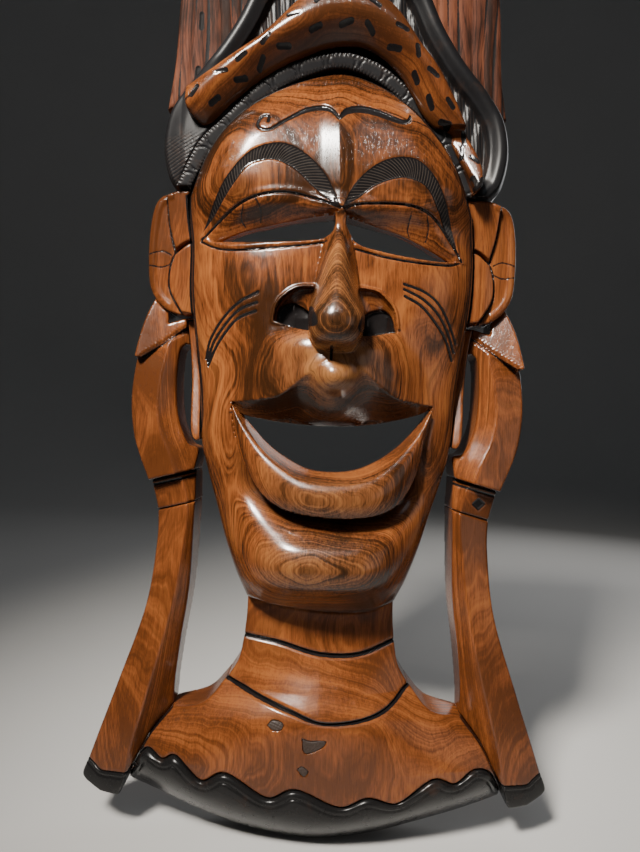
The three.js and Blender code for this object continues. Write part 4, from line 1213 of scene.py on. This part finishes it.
def show_hanger():
    """The steel hanger keeps its exact shape, with its edges eased."""
    for node in ("hanger_strap", "hanger_ring", "hanger_screw_1", "hanger_screw_2"):
        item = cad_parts[node]
        item.data.materials.clear()
        item.data.materials.append(STEEL)
        bevel = item.modifiers.new("eased_edges", "BEVEL")
        bevel.width = EDGE_EASE * MM
        bevel.segments = 2
        bevel.limit_method = "ANGLE"
        bevel.angle_limit = math.radians(50)


# ---------- the studio ----------

# The floor, in metres: it curves up from the bend
FLOOR_NEAR, FLOOR_BEND, FLOOR_FAR, FLOOR_TOP = -2.2, 1.5, 2.6, 3.0
FLOOR_HALF_WIDTH = 3.0
FLOOR_STEPS = 16
CAMERA_PLACE = (-4, 470, 256)  # across, in front of the back, and above the hem
CAMERA_ROLL = 2  # degrees


def make_stage():
    """A pale floor under the hem that curves up into a distant backdrop."""
    floor_z = cad_bounds[0].z - 0.001
    section = [(FLOOR_NEAR, 0.0), (FLOOR_BEND, 0.0)]
    radius = FLOOR_FAR - FLOOR_BEND
    for i in range(1, FLOOR_STEPS + 1):
        angle = i / FLOOR_STEPS * math.pi / 2
        section.append((FLOOR_BEND + radius * math.sin(angle), radius * (1 - math.cos(angle))))
    section.append((FLOOR_FAR, FLOOR_TOP))
    sides = (-FLOOR_HALF_WIDTH, FLOOR_HALF_WIDTH)
    vertices = [(x, y, floor_z + z) for y, z in section for x in sides]
    faces = [(2 * i, 2 * i + 1, 2 * i + 3, 2 * i + 2) for i in range(len(section) - 1)]
    mesh = bpy.data.meshes.new("studio_floor")
    mesh.from_pydata(vertices, [], faces)
    mesh.polygons.foreach_set("use_smooth", [True] * len(faces))
    floor = bpy.data.objects.new("studio_floor", mesh)
    bpy.context.collection.objects.link(floor)
    s = Shader("studio_paper")
    tone = s.mix(s.noise(0.004, 2.0), (0.60, 0.59, 0.575), (0.64, 0.63, 0.615))
    mesh.materials.append(s.finish(tone, 0.75, s.noise(0.5, 2.0), 0.01))


def make_lights():
    """A small key light high on the viewer's left, soft fills, and a light behind for the back."""
    middle = (cad_bounds[0] + cad_bounds[1]) / 2
    for name, offset, size, power, colour, spread in (
        ("key", (-0.385, -0.77, 0.77), (0.20, 0.22), 2.8, (1.0, 0.95, 0.87), 45),
        ("fill", (1.05, -0.75, 0.0), (0.7, 1.0), 0.4, (1.0, 0.93, 0.86), 90),
        ("top", (0.05, -0.9, 0.95), (0.9, 0.5), 0.35, (0.85, 0.93, 1.0), 90),
        ("rear", (0.7, 1.05, 0.55), (0.9, 0.9), 4, (1, 1, 1), 180),
    ):
        light = bpy.data.lights.new(name, "AREA")
        light.shape = "RECTANGLE"
        light.size, light.size_y = size
        light.energy = power
        light.spread = math.radians(spread)
        light.color = colour
        item = bpy.data.objects.new(name, light)
        item.location = middle + Vector(offset)
        item.rotation_euler = (-Vector(offset)).to_track_quat("-Z", "Y").to_euler()
        bpy.context.collection.objects.link(item)
    world = bpy.data.worlds.new("studio")
    world.use_nodes = True
    background = world.node_tree.nodes["Background"]
    background.inputs["Color"].default_value = (0.9, 0.95, 1.0, 1)
    background.inputs["Strength"].default_value = 0.04
    bpy.context.scene.world = world


def make_camera():
    """A close camera in front of the mask, a little above its middle and hardly tilted."""
    data = bpy.data.cameras.new("camera")
    data.sensor_fit = "VERTICAL"
    data.sensor_height = 24
    data.lens = 20
    data.clip_start = 0.01
    camera = bpy.data.objects.new("camera", data)
    roll = math.radians(CAMERA_ROLL)
    right = Vector((math.cos(roll), 0, math.sin(roll)))
    up = Vector((-math.sin(roll), 0, math.cos(roll)))
    matrix = Matrix((right, up, Vector((0, -1, 0)))).transposed().to_4x4()
    x, depth, z = CAMERA_PLACE
    matrix.translation = Vector((x, BACK_Y - depth, BASE_Z + z)) * MM
    camera.matrix_world = matrix
    bpy.context.collection.objects.link(camera)
    bpy.context.scene.camera = camera


carve_face()
carve_hair()
carve_hood()
carve_brim()
carve_panel()
for side in (Side("right"), Side("left")):
    side.carve_ear()
    side.carve_loop()
    side.carve_strip()
    side.carve_arm_band()
    side.carve_arm()
    side.carve_foot_hem()
carve_neck()
carve_bust()
carve_fillers()
carve_hem()
show_hanger()
make_stage()
make_lights()
make_camera()
